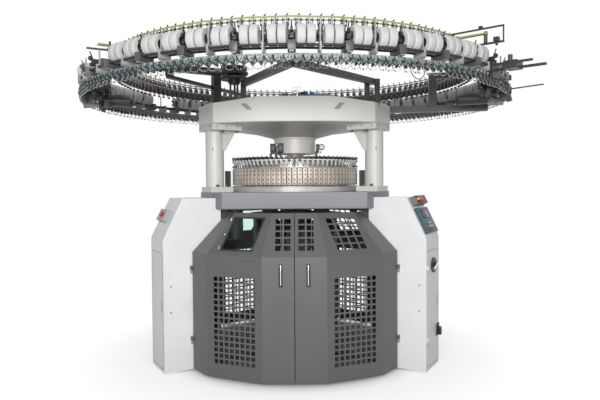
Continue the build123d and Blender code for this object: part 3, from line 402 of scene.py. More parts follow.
finishTable = {  # name: kind, the record's slot, settings
    "cabinetWhite": (paintFinish, "cabinet_white", {"colour": (0.80, 0.81, 0.82), "rough": 0.42, "dust": 0.3}),
    "crownWhite": (paintFinish, "warm_white", {"colour": (0.74, 0.73, 0.69), "rough": 0.45, "peel": 160}),
    "columnBeige": (paintFinish, "column_beige", {"colour": (0.63, 0.61, 0.56), "rough": 0.4}),
    # the posts carry the crown's warm white paint, darkened here as painted shade
    "postWhite": (paintFinish, "warm_white", {"colour": (0.62, 0.615, 0.585), "rough": 0.45, "peel": 160}),
    "railGrey": (paintFinish, "rail_aluminium", {"colour": (0.24, 0.245, 0.255), "rough": 0.45}),
    "plateGrey": (paintFinish, "machine_grey", {"colour": (0.36, 0.36, 0.35), "rough": 0.5}),
    "panelTeal": (mouldedFinish, "black_plastic", {"colour": (0.025, 0.075, 0.095), "rough": 0.35}),
    "bedGrey": (paintFinish, "machine_grey", {"colour": (0.185, 0.194, 0.207), "rough": 0.45, "peel": 200}),
    "guardGrey": (paintFinish, "guard_grey", {"colour": (0.094, 0.096, 0.101), "rough": 0.42, "dust": 0.15}),
    # grey paint, darkened as painted shade so the takedown frame inside the guard reads dark through the mesh; legs,
    # motor and gear blocks share it
    "legGrey": (paintFinish, "machine_grey", {"colour": (0.10, 0.104, 0.108), "rough": 0.55, "peel": 120}),
    "strutGrey": (paintFinish, "rail_aluminium", {"colour": (0.050, 0.051, 0.054), "rough": 0.5}),
    "darkPaint": (paintFinish, "dark_paint", {"colour": (0.018, 0.018, 0.02), "rough": 0.45}),
    "castGrey": (paintFinish, "cast_grey", {"colour": (0.10, 0.10, 0.105), "rough": 0.6, "peel": 110}),
    "camSteel": (metalFinish, "machined_steel", {
        "colour": (0.52, 0.465, 0.42), "rough": 0.5, "shade": 0.75, "pure": 0.35}),
    "seatSteel": (metalFinish, "cast_grey", {
        "colour": (0.50, 0.485, 0.475), "rough": 0.5, "stretch": (1, 1, 30), "pure": 0.3}),
    "machinedSteel": (metalFinish, "machined_steel", {"colour": (0.46, 0.455, 0.44), "rough": 0.36, "pure": 0.7}),
    "chrome": (metalFinish, "bright_chrome", {"colour": (0.86, 0.86, 0.87), "rough": 0.12, "shade": 0.95}),
    "aluminium": (metalFinish, "rail_aluminium", {
        "colour": (0.32, 0.33, 0.345), "rough": 0.45, "stretch": (3, 3, 3), "pure": 0.45}),
    "bracketGrey": (paintFinish, "rail_aluminium", {"colour": (0.062, 0.063, 0.066), "rough": 0.4}),
    "blackPlastic": (mouldedFinish, "black_plastic", {"colour": (0.014, 0.014, 0.015), "rough": 0.42}),
    "greyPlastic": (mouldedFinish, "machine_grey", {"colour": (0.16, 0.17, 0.18), "rough": 0.45}),
    "whitePlastic": (mouldedFinish, "white_plastic", {"colour": (0.70, 0.69, 0.66), "rough": 0.4}),
    "redPlastic": (mouldedFinish, "red_plastic", {"colour": (0.55, 0.02, 0.018), "rough": 0.28}),
    "tealPlastic": (mouldedFinish, "black_plastic", {"colour": (0.03, 0.22, 0.22), "rough": 0.4}),
    "yellowPlastic": (mouldedFinish, "belt_yellow_green", {"colour": (0.75, 0.55, 0.03), "rough": 0.4}),
    "beltGreen": (mouldedFinish, "belt_yellow_green", {"colour": (0.34, 0.35, 0.12), "rough": 0.6, "spark": 1500}),
    "rubber": (mouldedFinish, "roller_rubber", {"colour": (0.02, 0.02, 0.021), "rough": 0.65}),
    "wovenRoll": (woundFinish, "white_plastic", {"colour": (0.56, 0.56, 0.555), "turns": 480, "cloud": 6}),
    "screenNavy": (mouldedFinish, "black_plastic", {
        "colour": (0.012, 0.03, 0.09), "rough": 0.16, "sparkDepth": 0.01}),
    "cableBlue": (mouldedFinish, "black_plastic", {"colour": (0.03, 0.10, 0.34), "rough": 0.45}),
    "cableViolet": (mouldedFinish, "black_plastic", {"colour": (0.12, 0.05, 0.22), "rough": 0.45}),
    "windowGlass": (glassFinish, "clear_glass", {"colour": (0.80, 0.93, 0.90), "clear": 1.0, "bend": 1.12}),
}
finishes = {name: make(name, **settings) for name, (make, slot, settings) in finishTable.items()}
print("finishes made")


# Camera, light and floor

photoCamera = {"place": (0.040, -4.78, 1.371), "pitch": 1.716, "roll": 0.36, "lens": 34.5, "sensor": 36}


def makeCamera(settings):
    data = bpy.data.cameras.new("photoCamera")
    data.lens = settings["lens"]
    data.sensor_width = settings["sensor"]
    camera = bpy.data.objects.new("photoCamera", data)
    bpy.context.scene.collection.objects.link(camera)
    pitch = math.radians(settings["pitch"])
    roll = math.radians(settings["roll"])
    forward = Vector((0, math.cos(pitch), -math.sin(pitch)))
    up = Vector((0, math.sin(pitch), math.cos(pitch)))
    right = Vector((1, 0, 0))
    tiltedRight = right * math.cos(roll) - up * math.sin(roll)
    tiltedUp = up * math.cos(roll) + right * math.sin(roll)
    turn = Matrix((tiltedRight, tiltedUp, -forward)).transposed()
    camera.location = settings["place"]
    camera.rotation_euler = turn.to_euler()
    bpy.context.scene.camera = camera


def whiteToView(tree, lit, white):  # what the camera, glossy and clear rays see is the white socket
    path = addNode(tree, "ShaderNodeLightPath").outputs
    seen = addNode(tree, "ShaderNodeMath", links={0: path["Is Camera Ray"], 1: path["Is Glossy Ray"]})
    seen = addNode(
        tree, "ShaderNodeMath", links={0: seen.outputs[0], 1: path["Is Transmission Ray"]}, use_clamp=True)
    return addNode(tree, "ShaderNodeMixShader", links={"Fac": seen.outputs[0], 1: lit, 2: white}).outputs[0]


studio = {
    "worldLevel": 0.16,
    "lamps": [  # name, place, size, power
        ("keyLamp", (-1.1, -6.6, 2.5), 2.4, 215),
        ("fillLamp", (1.2, -6.6, 2.2), 2.4, 150),
        ("topLamp", (0, 0.2, 5.4), 4.0, 50),
        ("backLamp", (1.5, 5.4, 3.6), 3.0, 40),
    ],
    "lampGloss": 0.35, "lampAim": (0, 0, 1.1),
    "floorSize": 40, "floorReach": 4.0, "floorRough": 0.9, "floorMottle": (0.93, 0.95), "floorBounce": 0.40,
    "floorFade": ((0.93, 0.0), (1.10, 0.70), (1.7, 1.0)),  # radius, how far the floor has gone to plain white
    "floorShade": ((0.30, 0.0), (0.70, 0.25), (1.02, 1.0)),  # radius, how far from the painted shadow level under the machine to the floor's own colour
    # colour of the painted shadow on the floor under the machine
    "floorShadowLevel": 0.12,
}


def grey(level):
    return (level, level, level)


def makeLamp(name, place, size, power, settings):
    data = bpy.data.lights.new(name, "AREA")
    data.shape = "DISK"
    data.size = size
    data.energy = power
    data.specular_factor = settings["lampGloss"]
    lamp = bpy.data.objects.new(name, data)
    bpy.context.scene.collection.objects.link(lamp)
    lamp.location = place
    aim = Vector(settings["lampAim"]) - Vector(place)
    lamp.rotation_euler = aim.to_track_quat("-Z", "Y").to_euler()


def makeWorld(settings):
    world = bpy.data.worlds.new("studioWorld")
    bpy.context.scene.world = world
    world.use_nodes = True
    tree = world.node_tree
    tree.nodes.clear()
    lit, white = (
        addNode(tree, "ShaderNodeBackground", {"Color": (*grey(1), 1), "Strength": level}).outputs[0]
        for level in (settings["worldLevel"], 1.0))
    addNode(tree, "ShaderNodeOutputWorld", links={"Surface": whiteToView(tree, lit, white)})


def makeFloor(settings):
    deselectAll()
    bpy.ops.mesh.primitive_plane_add(size=settings["floorSize"], location=origin)
    floor = bpy.context.active_object
    floor.name = "studioFloor"
    material, tree, shader, place = startMaterial("studioFloor")
    low, high = settings["floorMottle"]
    mottle = addRamp(tree, addNoise(tree, place, 0.5, 2), ((0.3, grey(low)), (0.7, grey(high))))
    shader.inputs["Roughness"].default_value = settings["floorRough"]
    glow = addNode(tree, "ShaderNodeEmission", {"Color": (*grey(1), 1), "Strength": 1.0})
    away = addNode(tree, "ShaderNodeVectorMath", links={0: place.outputs["Object"]}, operation="LENGTH")
    reach = addNode(
        tree, "ShaderNodeMapRange", {"From Max": settings["floorReach"]}, {"Value": away.outputs["Value"]})
    fade, shade = (
        addRamp(tree, reach.outputs["Result"], [
            (radius / settings["floorReach"], grey(level)) for radius, level in settings[stops]])
        for stops in ("floorFade", "floorShade"))
    under = addNode(  # painted shadow: the floor under the machine is darkened towards the middle
        tree, "ShaderNodeMix", {"A": (*grey(settings["floorShadowLevel"]), 1)}, {"Factor": shade, "B": mottle},
        data_type="RGBA")
    tree.links.new(under.outputs["Result"], shader.inputs["Base Color"])
    whiter = addNode(
        tree, "ShaderNodeMixShader", links={"Fac": fade, 1: shader.outputs[0], 2: glow.outputs[0]})
    dim = addNode(tree, "ShaderNodeBsdfDiffuse", {"Color": (*grey(settings["floorBounce"]), 1)})
    seen = whiteToView(tree, dim.outputs[0], whiter.outputs[0])
    tree.links.new(seen, tree.nodes["Material Output"].inputs["Surface"])
    floor.data.materials.append(material)


def makeStudio(settings):
    makeWorld(settings)
    for lamp in settings["lamps"]:
        makeLamp(*lamp, settings)
    makeFloor(settings)


bpy.context.scene.view_settings.view_transform = "Standard"
makeCamera(photoCamera)


# Cables follow the part's route points, in metres

loop = {"turn": 297.273, "radius": 1.640}
cords = {
    "crownCable": {
        "node": "crown_cable", "finish": "cableBlue", "slot": "cable_blue", "diameter": 0.018, "length": 0.554,
        "stiffness": "medium", "lay": "loose",
        "points": [
            (-0.040, -0.480, 2.0093), (0.060, -0.480, 2.0093), (0.150, -0.545, 2.0093), (0.250, -0.540, 2.0093),
            (0.330, -0.480, 2.0093), (0.360, -0.390, 2.0093), (0.360, -0.330, 2.0093)]},
    "crownWire": {
        "node": "crown_wire", "finish": "cableViolet", "slot": "cable_violet", "diameter": 0.012, "length": 0.4965,
        "stiffness": "medium", "lay": "loose",
        "points": [
            (-0.040, -0.462, 2.0063), (0.060, -0.462, 2.0063), (0.170, -0.505, 2.0063), (0.260, -0.500, 2.0063),
            (0.310, -0.440, 2.0063), (0.340, -0.385, 2.0063), (0.340, -0.330, 2.0063)]},
    "ringCable": {
        "node": "ring_cable", "finish": "rubber", "slot": "cable_black", "diameter": 0.005, "length": 0.2025,
        "stiffness": "stiff", "lay": "hanging",
        "points": [
            turnPlace(loop["turn"], loop["radius"], up, aside).translation for aside, up in (
                (-0.090, 2.032), (-0.090, 2.004), (-0.074, 1.974), (-0.038, 1.956), (-0.002, 1.968),
                (0.014, 2.000), (0.014, 2.032))]},
}


def makeCord(name, settings):
    data = bpy.data.curves.new(name, "CURVE")
    data.dimensions = "3D"
    data.bevel_depth = settings["diameter"] / 2
    data.bevel_resolution = 4
    data.resolution_u = 12
    spline = data.splines.new("NURBS")
    spline.points.add(len(settings["points"]) - 1)
    for point, place in zip(spline.points, settings["points"]):
        point.co = (*place, 1)
    spline.order_u = 3
    spline.use_endpoint_u = True
    piece = bpy.data.objects.new(name, data)
    bpy.context.scene.collection.objects.link(piece)
    data.materials.append(finishes[settings["finish"]])
    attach(piece, "frame")
    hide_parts(settings["node"])


for name, settings in cords.items():
    makeCord(name, settings)
makeStudio(studio)
print("camera, cables and studio set")


# Castings and sheet metal keep their solids, with rounded edges

softened = [  # edge radius, bevel steps, finish, nodes
    (0.010, 3, "crownWhite", ["crown"]),
    (0.005, 2, "postWhite", ["post_left", "post_right", "post_rear"]),
    (0.006, 3, "bedGrey", ["bed_plate"]),
    (0.012, 2, "legGrey", ["leg_left", "leg_right", "leg_rear"]),
    (0.006, 2, "castGrey", ["base_spider"]),
    (0.003, 2, "columnBeige", ["dial_column"]),
    (0.002, 2, "machinedSteel", ["dial_cap"]),
    (0.003, 2, "strutGrey", ["ring_supports"]),
    (0.002, 2, "darkPaint", ["pulley_stand"]),
    (0.003, 1, "legGrey", ["takedown_frame"]),
    (0.003, 2, "blackPlastic", ["quality_pulleys"]),
    (0.004, 2, "panelTeal", ["control_panel"]),
    (0.002, 2, "darkPaint", ["terminal_boxes"]),
    (0.0025, 2, "darkPaint", ["ring_drives"]),
    (0.004, 3, "redPlastic", ["stop_button_left", "stop_button_right", "start_button"]),
    (0.003, 3, "blackPlastic", ["latch_handle"]),
    (0.006, 2, "legGrey", ["drive_motor"]),
    (0.0012, 2, "cabinetWhite", ["cabinet_left", "cabinet_right", "cabinet_rear"]),
    (0.0010, 2, "cabinetWhite", ["cabinet_door"]),
    (0.0010, 1, "guardGrey", ["front_guard_left", "front_guard_right"]),
    (0.0006, 1, "blackPlastic", ["handle_left", "handle_right"]),
    (0.002, 2, "seatSteel", ["cam_seat"]),
    (0.002, 1, "castGrey", ["feeder_rail"]),
]
nodeBodies = {  # the other nodes ride on the frame
    "takedown_frame": "takedown", "quality_pulleys": "quality_wheel", "stop_button_left": "stop_left",
    "stop_button_right": "stop_right", "start_button": "start", "latch_handle": "door_latch",
    "cabinet_door": "electrics_door", "front_guard_left": "leaf_front_left", "handle_left": "leaf_front_left",
    "front_guard_right": "leaf_front_right", "handle_right": "leaf_front_right",
}


def camelName(node):
    words = node.split("_")
    return words[0] + "".join(word.capitalize() for word in words[1:])


crownFace = {"start": (0.265, -0.610), "along": (0.9657, 0.2594), "height": 1.927}
pocket = {"depth": (-0.045, -0.002), "run": (0.015, 0.105), "halfHeight": 0.03}


def closePockets(piece, settings):  # the lift pockets are closed; grey plates set further out stand for their shaded insides as painted shade
    corner, along = Vector(crownFace["start"]), Vector(crownFace["along"])
    outward = Vector((along.y, -along.x))
    deepest, shallowest = settings["depth"]
    first, last = settings["run"]

    def inPocket(vertex):
        spot = Vector((abs(vertex.co.x), vertex.co.y)) - corner
        return (
            deepest < spot.dot(outward) < shallowest and first < spot.dot(along) < last
            and abs(vertex.co.z - crownFace["height"]) < settings["halfHeight"])

    pickParts(piece, "VERT", inPocket)
    bpy.ops.mesh.delete(type="VERT")
    bpy.ops.mesh.select_all(action="SELECT")
    bpy.ops.mesh.fill_holes(sides=12)
    bpy.ops.mesh.dissolve_limited(angle_limit=flatWithin)
    leaveEdit()


def softenPiece(piece, edge, steps, finish, body="frame", replaced=(), smooth=35):
    bevelPiece(piece, edge, steps, 30)
    finishPiece(piece, finish, body, replaced, smooth)
    evenNormals(piece)


for edge, steps, finish, nodes in softened:
    for node in nodes:
        piece = mergedCopy(node, camelName(node) + "Finished")
        if node == "crown":
            closePockets(piece, pocket)
        smooth = 12 if finish == "guardGrey" else 35
        softenPiece(piece, edge, steps, finish, nodeBodies.get(node, "frame"), [node], smooth)
print("castings finished")

kept = {  # nodes that show as they are: finish
    "window_glass": "windowGlass", "hinge_pins": "machinedSteel",
    "frame_bolts": "darkPaint", "cylinder_gear": "machinedSteel", "needle_cylinder": "machinedSteel",
    "needle_dial": "machinedSteel", "drive_pinion": "machinedSteel", "nip_roller_front": "rubber",
    "nip_roller_rear": "rubber", "fabric_shaft": "machinedSteel",
    "roller_rail": "railGrey", "guide_ring": "darkPaint",
}
for node, finish in kept.items():
    cad[node].data.materials.clear()
    cad[node].data.materials.append(finishes[finish])
print("kept nodes painted")


def splitNode(node, choose):  # joins the node's loose parts into the groups that choose names
    makeActive(mergedCopy(node, node))
    bpy.ops.object.mode_set(mode="EDIT")
    bpy.ops.mesh.select_all(action="SELECT")
    bpy.ops.mesh.separate(type="LOOSE")
    leaveEdit()
    groups = {}
    for piece in list(bpy.context.selected_objects):
        groups.setdefault(choose(piece.data.vertices), []).append(piece)
    return {name: joinPieces(pieces, name) for name, pieces in groups.items()}


# The belt on the pulley stand is dark, those of the ring and the tension arm are yellow

standReach = 1.3


def beltGroup(points):
    reach = max(math.hypot(point.co.x, point.co.y) for point in points)
    return "standBelt" if reach < standReach else "ringBelts"


belts = splitNode("drive_belts", beltGroup)
finishPiece(belts["ringBelts"], "beltGreen", replaced=["drive_belts"], smooth=30)
finishPiece(belts["standBelt"], "rubber", smooth=30)

boxes = splitNode("button_boxes", lambda points: "leftButtonBox" if points[0].co.x < 0 else "rightButtonBox")
softenPiece(boxes["leftButtonBox"], 0.005, 3, "plateGrey")
softenPiece(boxes["rightButtonBox"], 0.005, 3, "greyPlastic", replaced=["button_boxes"])


# The side leaves share the front pair's punched form

sideLeaves = {  # node: side of the front leaf it copies, turn about the machine's axis, body
    "right_guard_front": ("left", 120, "leaf_right_front"),
    "right_guard_rear": ("right", 120, "leaf_right_rear"),
    "left_guard_rear": ("left", 240, "leaf_left_rear"),
    "left_guard_front": ("right", 240, "leaf_left_front"),
}


def makeSideLeaves(table):
    for node, (side, turn, body) in table.items():
        place = spinPlace(turn, "Z")
        name = camelName(node)
        piece = placePiece(mergedCopy(f"front_guard_{side}", name), place)
        finishPiece(bevelPiece(piece, 0.0010, 1, 30), "guardGrey", body, [node], smooth=12)
        tray = placePiece(mergedCopy(f"handle_{side}", name + "Handle"), place)
        finishPiece(tray, "chrome", body, smooth=35)
        if side == "left":
            glass = placePiece(mergedCopy("window_glass", name + "Glass"), place)
            finishPiece(glass, "windowGlass", body)


makeSideLeaves(sideLeaves)


# Front leaves: handle bars in their slots, the window's gasket and its studs

handles = {
    "aside": 0.093, "height": 0.751, "bar": (0.0105, 0.0090, 0.140), "barFace": -0.9532, "barEdge": 0.004,
    "rim": (0.028, 0.0012, 0.154), "rimFace": -0.9606, "rimBorder": 0.004,
}
window = {
    "middle": (-0.3618, -0.7495, 1.015), "along": (0.9249, -0.3803, 0), "out": (-0.2689, -0.6540, 0.7071),
    "gasket": (0.252, 0.0024, 0.312), "border": 0.014, "gasketProud": 0.0012,
    "stud": (0.0045, 0.004), "studAside": -0.142, "studUps": (-0.135, -0.122, -0.01, 0.122, 0.135),
    "studProud": 0.002,
}


def makeHandleBars(settings):
    for side, name in ((-1, "Left"), (1, "Right")):
        x = side * settings["aside"]
        body = "leaf_front_" + name.lower()
        bar = addBlock(settings["bar"], (x, settings["barFace"], settings["height"]), settings["barEdge"], 3)
        makePiece("handleBar" + name, [bar], "chrome", body, smooth=50)
        rim = addFrame(settings["rim"], (x, settings["rimFace"], settings["height"]), settings["rimBorder"])
        makePiece("handleRim" + name, [rim], "blackPlastic", body)


def makeWindowTrim(settings):
    lay = facePlace(settings["middle"], settings["along"], settings["out"]) @ spinPlace(-90, "X")
    gasket = addFrame(settings["gasket"], origin, settings["border"])
    gasketPlace = lay @ movePlace(0, -settings["gasketProud"], 0)
    makePiece("windowGasket", [gasket], "blackPlastic", "leaf_front_left", gasketPlace)
    stud = addRound(*settings["stud"], (settings["studAside"], 0, 0), 10, "Y")
    studPlaces = [lay @ movePlace(0, -settings["studProud"], up) for up in settings["studUps"]]
    makeCopies("windowStuds", [stud], studPlaces, "chrome", "leaf_front_left")


makeHandleBars(handles)
makeWindowTrim(window)
print("guards dressed")


# Cabinets: screws, fillers and seals, covers with seam and slot, the right door's switch and latch

legTurns = (90, 210, 330)
cabinet = {
    "screw": [("round", 0.0085, 0.004, origin, 16, "Y", 0.0012), ("block", (0.010, 0.0046, 0.0016), origin, 0)],
    "screwSides": ((210, 0.1515), (330, -0.1515)), "screwRadius": 1.113, "screwUps": (0.632, 0.445),
    "filler": (0.058, 0.0016, 0.250), "fillerPlace": (0.7535, 1.136, 0.149),  # radius, height, aside
    "seal": (0.006, 0.016, 0.900), "sealPlace": (0.788, 0.560, 0.1592),
}
cover = {
    "size": (0.0016, 0.272, 0.836), "radius": 1.166, "height": 0.458, "turn": 210,
    "slot": ("block", (0.0010, 0.008, 0.090), (0, 0.106, 0.030), 0),
    "lock": (0.004, 0.0014), "lockAside": 0.127, "lockUps": (-0.400, 0.360),
    "seam": 0.0024, "seamDepth": 0.0006, "seamInset": 0.0005,
    "marks": [  # name, turn, radius, side of the locks, body
        ("leftCabinetSlot", 210, 1.1669, 1, "frame"), ("doorSlot", 330, 1.1683, -1, "electrics_door")],
}


def besideLegs(radius, height, aside):
    return [turnPlace(angle, radius, height, side * aside) for angle in legTurns for side in (-1, 1)]


def makeCabinetTrim(settings):
    screwPlaces = [
        turnPlace(angle, settings["screwRadius"], up, aside)
        for angle, aside in settings["screwSides"] for up in settings["screwUps"]]
    makeCopies("cabinetScrews", addParts(settings["screw"]), screwPlaces, "machinedSteel", smooth=35)
    filler = addBlock(settings["filler"], edge=0)
    makeCopies("cabinetFillers", [filler], besideLegs(*settings["fillerPlace"]), "cabinetWhite", smooth=None)
    seal = addBlock(settings["seal"], edge=0.0015, steps=1)
    makeCopies(
        "guardSeals", [seal], besideLegs(*settings["sealPlace"]), "rubber", smooth=35)


def makeCovers(settings):
    plate = addBlock(settings["size"], edge=0.0006, steps=1)
    place = turnPlace(settings["turn"], settings["radius"], settings["height"])
    makePiece("leftCabinetCover", [plate], "cabinetWhite", place=place, smooth=35)
    depth, seam, inset = settings["seamDepth"], settings["seam"], settings["seamInset"]
    wide, tall = settings["size"][1:]
    for name, turn, radius, lockSide, body in settings["marks"]:
        # the slot is a black strip on the face: painted shade for its opening
        marks = addParts([settings["slot"]]) + [
            addRound(*settings["lock"], (0, lockSide * settings["lockAside"], up), 10, "X", 0)
            for up in settings["lockUps"]]
        for side in (-1, 1):  # the seam round the cover
            marks.append(addBlock((depth, seam, tall), (0, side * (wide / 2 - inset), 0), 0))
            marks.append(addBlock((depth, wide, seam), (0, 0, side * (tall / 2 - inset)), 0))
        place = turnPlace(turn, radius, settings["height"])
        makePiece(name, marks, "blackPlastic", body, place, smooth=35)


doorFittings = {
    "turn": 330, "face": 1.1683, "switchUp": 0.765, "leverTurn": 24, "latchUp": 0.269, "latchAside": 0.106,
    "disc": ("round", 0.055, 0.010, (0.0055, 0, 0), 32, "X", 0.002), "rim": 0.005, "dish": 0.002,
    "hub": ("round", 0.016, 0.014, (0.014, 0, 0), 20, "X", 0.002),
    "lever": ("block", (0.012, 0.096, 0.018), (0.0245, 0, 0), 0.003),
    "latch": [  # name, finish, body, slot where it isn't the finish's own, part
        ("latchRose", "blackPlastic", "electrics_door", None,
            ("block", (0.008, 0.060, 0.092), (0.004, 0, 0), 0.003)),
        ("latchGrip", "blackPlastic", "door_latch", None,
            ("block", (0.020, 0.026, 0.062), (0.022, 0, -0.010), 0.004)),
        ("latchCore", "chrome", "door_latch", "machined_steel",
            ("round", 0.011, 0.012, (0.014, 0, 0.030), 16, "X", 0.002))],
}


def makeDoorFittings(settings):
    turn, face = settings["turn"], settings["face"]
    place = turnPlace(turn, face, settings["switchUp"])
    disc, hub, lever = addParts([settings["disc"], settings["hub"], settings["lever"]])
    pickFaces(disc, (1, 0, 0))
    bpy.ops.mesh.inset(thickness=settings["rim"], depth=-settings["dish"])
    leaveEdit()
    makePiece("switchDial", [disc, hub], "blackPlastic", "switch_knob", place, ["main_switch"])
    leverPlace = place @ spinPlace(settings["leverTurn"], "X")
    makePiece("switchLever", [lever], "chrome", "switch_knob", leverPlace)
    latch = turnPlace(turn, face, settings["latchUp"], settings["latchAside"])
    for name, finish, body, slot, part in settings["latch"]:
        makePiece(name, addParts([part]), finish, body, latch)


# Controls on the sloped consoles

console = {"middle": (1.0925, 0, 1.116), "along": (0, 1, 0), "out": (0.292, 0, 0.145)}


def consolePlace(angle, aside, up, out):  # aside runs along the ring, up the slope and out of it, in metres
    slope = facePlace(console["middle"], console["along"], console["out"])
    return spinPlace(angle, "Z") @ slope @ movePlace(aside, up, out)


panel = {  # name: finish, blocks as (aside, up, width, height, thickness)
    "panelPlate": ("panelTeal", [(0, -0.034, 0.232, 0.188, 0.0014)]),
    "panelBezel": ("blackPlastic", [(-0.006, 0.014, 0.150, 0.078, 0.004)]),
    "panelScreen": ("screenNavy", [(0, 0.010, 0.110, 0.056, 0.0052)]),
    "panelFoot": ("blackPlastic", [(0.0, -0.112, 0.216, 0.028, 0.002)]),
    "panelKeysTeal": ("tealPlastic", [
        (-0.040, -0.040, 0.024, 0.012, 0.004), (0.000, -0.040, 0.024, 0.012, 0.004),
        (0.040, -0.036, 0.030, 0.014, 0.004), (-0.030, -0.058, 0.020, 0.010, 0.004),
        (-0.070, -0.044, 0.016, 0.034, 0.003), (-0.050, 0.062, 0.060, 0.006, 0.003)]),
    "panelKeysGrey": ("whitePlastic", [
        (0.000, -0.058, 0.020, 0.009, 0.004), (0.028, -0.056, 0.020, 0.009, 0.004)]),
    "panelKeysViolet": ("cableViolet", [(0.062, -0.052, 0.018, 0.012, 0.004)]),
    "panelBar": ("yellowPlastic", [
        (0.010, -0.084, 0.100, 0.010, 0.004), (0.098, 0.022, 0.012, 0.010, 0.004)]),
}
panelFace = {"turn": 330, "out": 0.0236, "edge": 0.0012}
buttonPlate = {  # the bores are wide enough for the heads when they are pressed
    "size": (0.222, 0.058, 0.003), "turn": 330, "up": 0.121, "out": 0.0463, "bores": (-0.072, -0.018),
    "bore": 0.022, "boreOut": 0.046,
}
consoleParts = [  # name, finish, part, where on which console
    ("keyRing", "yellowPlastic", ("tube", 0.0095, 0.0065, 0.010, origin, 20), (330, -0.100, 0.121, 0.052)),
    ("keyCap", "whitePlastic", ("round", 0.006, 0.022, origin, 16, "Z", 0.0015), (330, -0.100, 0.121, 0.058)),
    ("leftConsoleCollar", "blackPlastic", ("tube", 0.030, 0.0085, 0.004, origin, 24), (210, 0.030, 0.010, 0.0305)),
    ("leftConsoleLever", "chrome", ("block", (0.010, 0.046, 0.008), origin, 0.003), (210, -0.022, 0.010, 0.033)),
]


def makePanel(table, settings):
    for name, (finish, blocks) in table.items():
        pieces = []
        for aside, up, *size in blocks:
            place = consolePlace(settings["turn"], aside, up, settings["out"] + size[2] / 2)
            pieces.append(placePiece(addBlock(size, edge=settings["edge"]), place))
        makePiece(name, pieces, finish)


def makeButtonPlate(settings):
    turn, up, out = settings["turn"], settings["up"], settings["out"]
    plate = placePiece(addBlock(settings["size"]), consolePlace(turn, 0, up, out))
    for aside in settings["bores"]:
        cutRound(plate, consolePlace(turn, aside, up, settings["boreOut"]), settings["bore"])
    makePiece("buttonPlate", [plate], "blackPlastic", smooth=35)


makeCabinetTrim(cabinet)
makeCovers(cover)
makeDoorFittings(doorFittings)
makePanel(panel, panelFace)
makeButtonPlate(buttonPlate)
for name, finish, part, where in consoleParts:
    makePiece(name, addParts([part]), finish, place=consolePlace(*where))
print("cabinets and consoles dressed")


# Crown, posts and column: tapped holes as dark dots of painted shade, marks and the fittings under the column

headTrim = {
    "holeHeight": 1.798, "hole": (0.0045, 0.002), "holeSides": ((210, 0.1405), (330, -0.1405)),
    "holeRadii": (0.575, 0.665, 0.745), "endHole": (0.005, 0.002), "endTurns": (210, 330),
    "endRadius": 0.7805, "endAsides": (-0.10, 0.10),
    "markAside": 0.617, "markFace": -0.4225, "markDepth": 0.003,
    "marks": ((1.628, 0.006), (1.640, 0.0025), (1.616, 0.0025)),  # height, radius
    "fittings": [
        ("block", (0.044, 0.050, 0.070), (-0.178, -0.080, 1.655), 0.005),
        ("block", (0.040, 0.046, 0.078), (-0.112, -0.150, 1.650), 0.005),
        ("block", (0.090, 0.020, 0.016), (-0.150, -0.105, 1.612), 0.002),
        ("block", (0.026, 0.040, 0.060), (0.186, -0.080, 1.655), 0.004),
        ("block", (0.050, 0.022, 0.014), (0.190, -0.088, 1.618), 0.002),
        ("round", 0.009, 0.028, (-0.196, -0.088, 1.600), 12, "Z", 0.002),
        ("round", 0.009, 0.028, (-0.150, -0.120, 1.592), 12, "Z", 0.002),
        ("round", 0.009, 0.028, (-0.118, -0.160, 1.600), 12, "Z", 0.002),
        ("round", 0.009, 0.028, (0.176, -0.09, 1.600), 12, "Z", 0.002),
        ("round", 0.025, 0.018, (0.219, -0.090, 1.660), 24, "Y", 0.003)],
}
headDials = [
    ("round", 0.021, 0.022, (0.219, -0.094, 1.660), 24, "Y", 0.003),
    ("round", 0.010, 0.030, (0.200, -0.094, 1.618), 14, "Y", 0.002),
    ("round", 0.008, 0.020, (-0.145, -0.178, 1.672), 14, "Y", 0.002),
]
# grey plates over the closed lift pockets: painted shade for the pockets' insides
shadedLiftPlates = {"size": (0.042, 0.0024, 0.048), "proud": 0.0006, "left": (0.083, 0.024), "right": (0.066, 0.020)}


def makeHeadTrim(settings):
    height = settings["holeHeight"]
    dark = []
    # the tapped holes are black discs on the surface: painted shade for their bores
    for angle, aside in settings["holeSides"]:
        for radius in settings["holeRadii"]:
            dot = addRound(*settings["hole"], origin, 10, "Y", 0)
            dark.append(placePiece(dot, turnPlace(angle, radius, height, aside)))
    for angle in settings["endTurns"]:
        for aside in settings["endAsides"]:
            dot = addRound(*settings["endHole"], origin, 10, "X", 0)
            dark.append(placePiece(dot, turnPlace(angle, settings["endRadius"], height, aside)))
    for side in (-1, 1):
        for up, radius in settings["marks"]:
            at = (side * settings["markAside"], settings["markFace"], up)
            dark.append(addRound(radius, settings["markDepth"], at, 10, "Y", 0))
    makePiece("headFittings", dark + addParts(settings["fittings"]), "blackPlastic")


def makeLiftPlates(settings):
    plates = []
    for side, (shift, lean) in ((-1, settings["left"]), (1, settings["right"])):
        along = Vector((side * crownFace["along"][0], crownFace["along"][1], 0))
        outward = Vector((side * crownFace["along"][1], -crownFace["along"][0], 0))
        corner = Vector((side * crownFace["start"][0], crownFace["start"][1], crownFace["height"]))
        plate = addBlock(settings["size"], edge=0)
        for up in (1, -1):
            pickFaces(plate, (0, 0, up))
            bpy.ops.transform.translate(value=(side * up * lean, 0, 0))
        leaveEdit()
        across = Vector((-outward.y, outward.x, 0))
        place = Matrix((across, -outward, Vector((0, 0, 1)))).transposed().to_4x4()
        place.translation = corner + along * shift + outward * settings["proud"]
        plates.append(placePiece(plate, place))
    makePiece("shadedLiftPlates", plates, "plateGrey", smooth=35)


makeHeadTrim(headTrim)
makeLiftPlates(shadedLiftPlates)
makePiece("headDials", addParts(headDials), "aluminium")
print("head dressed")


# Elastane ring: rolls, drive rods, brackets and eyelets round the overhead rail

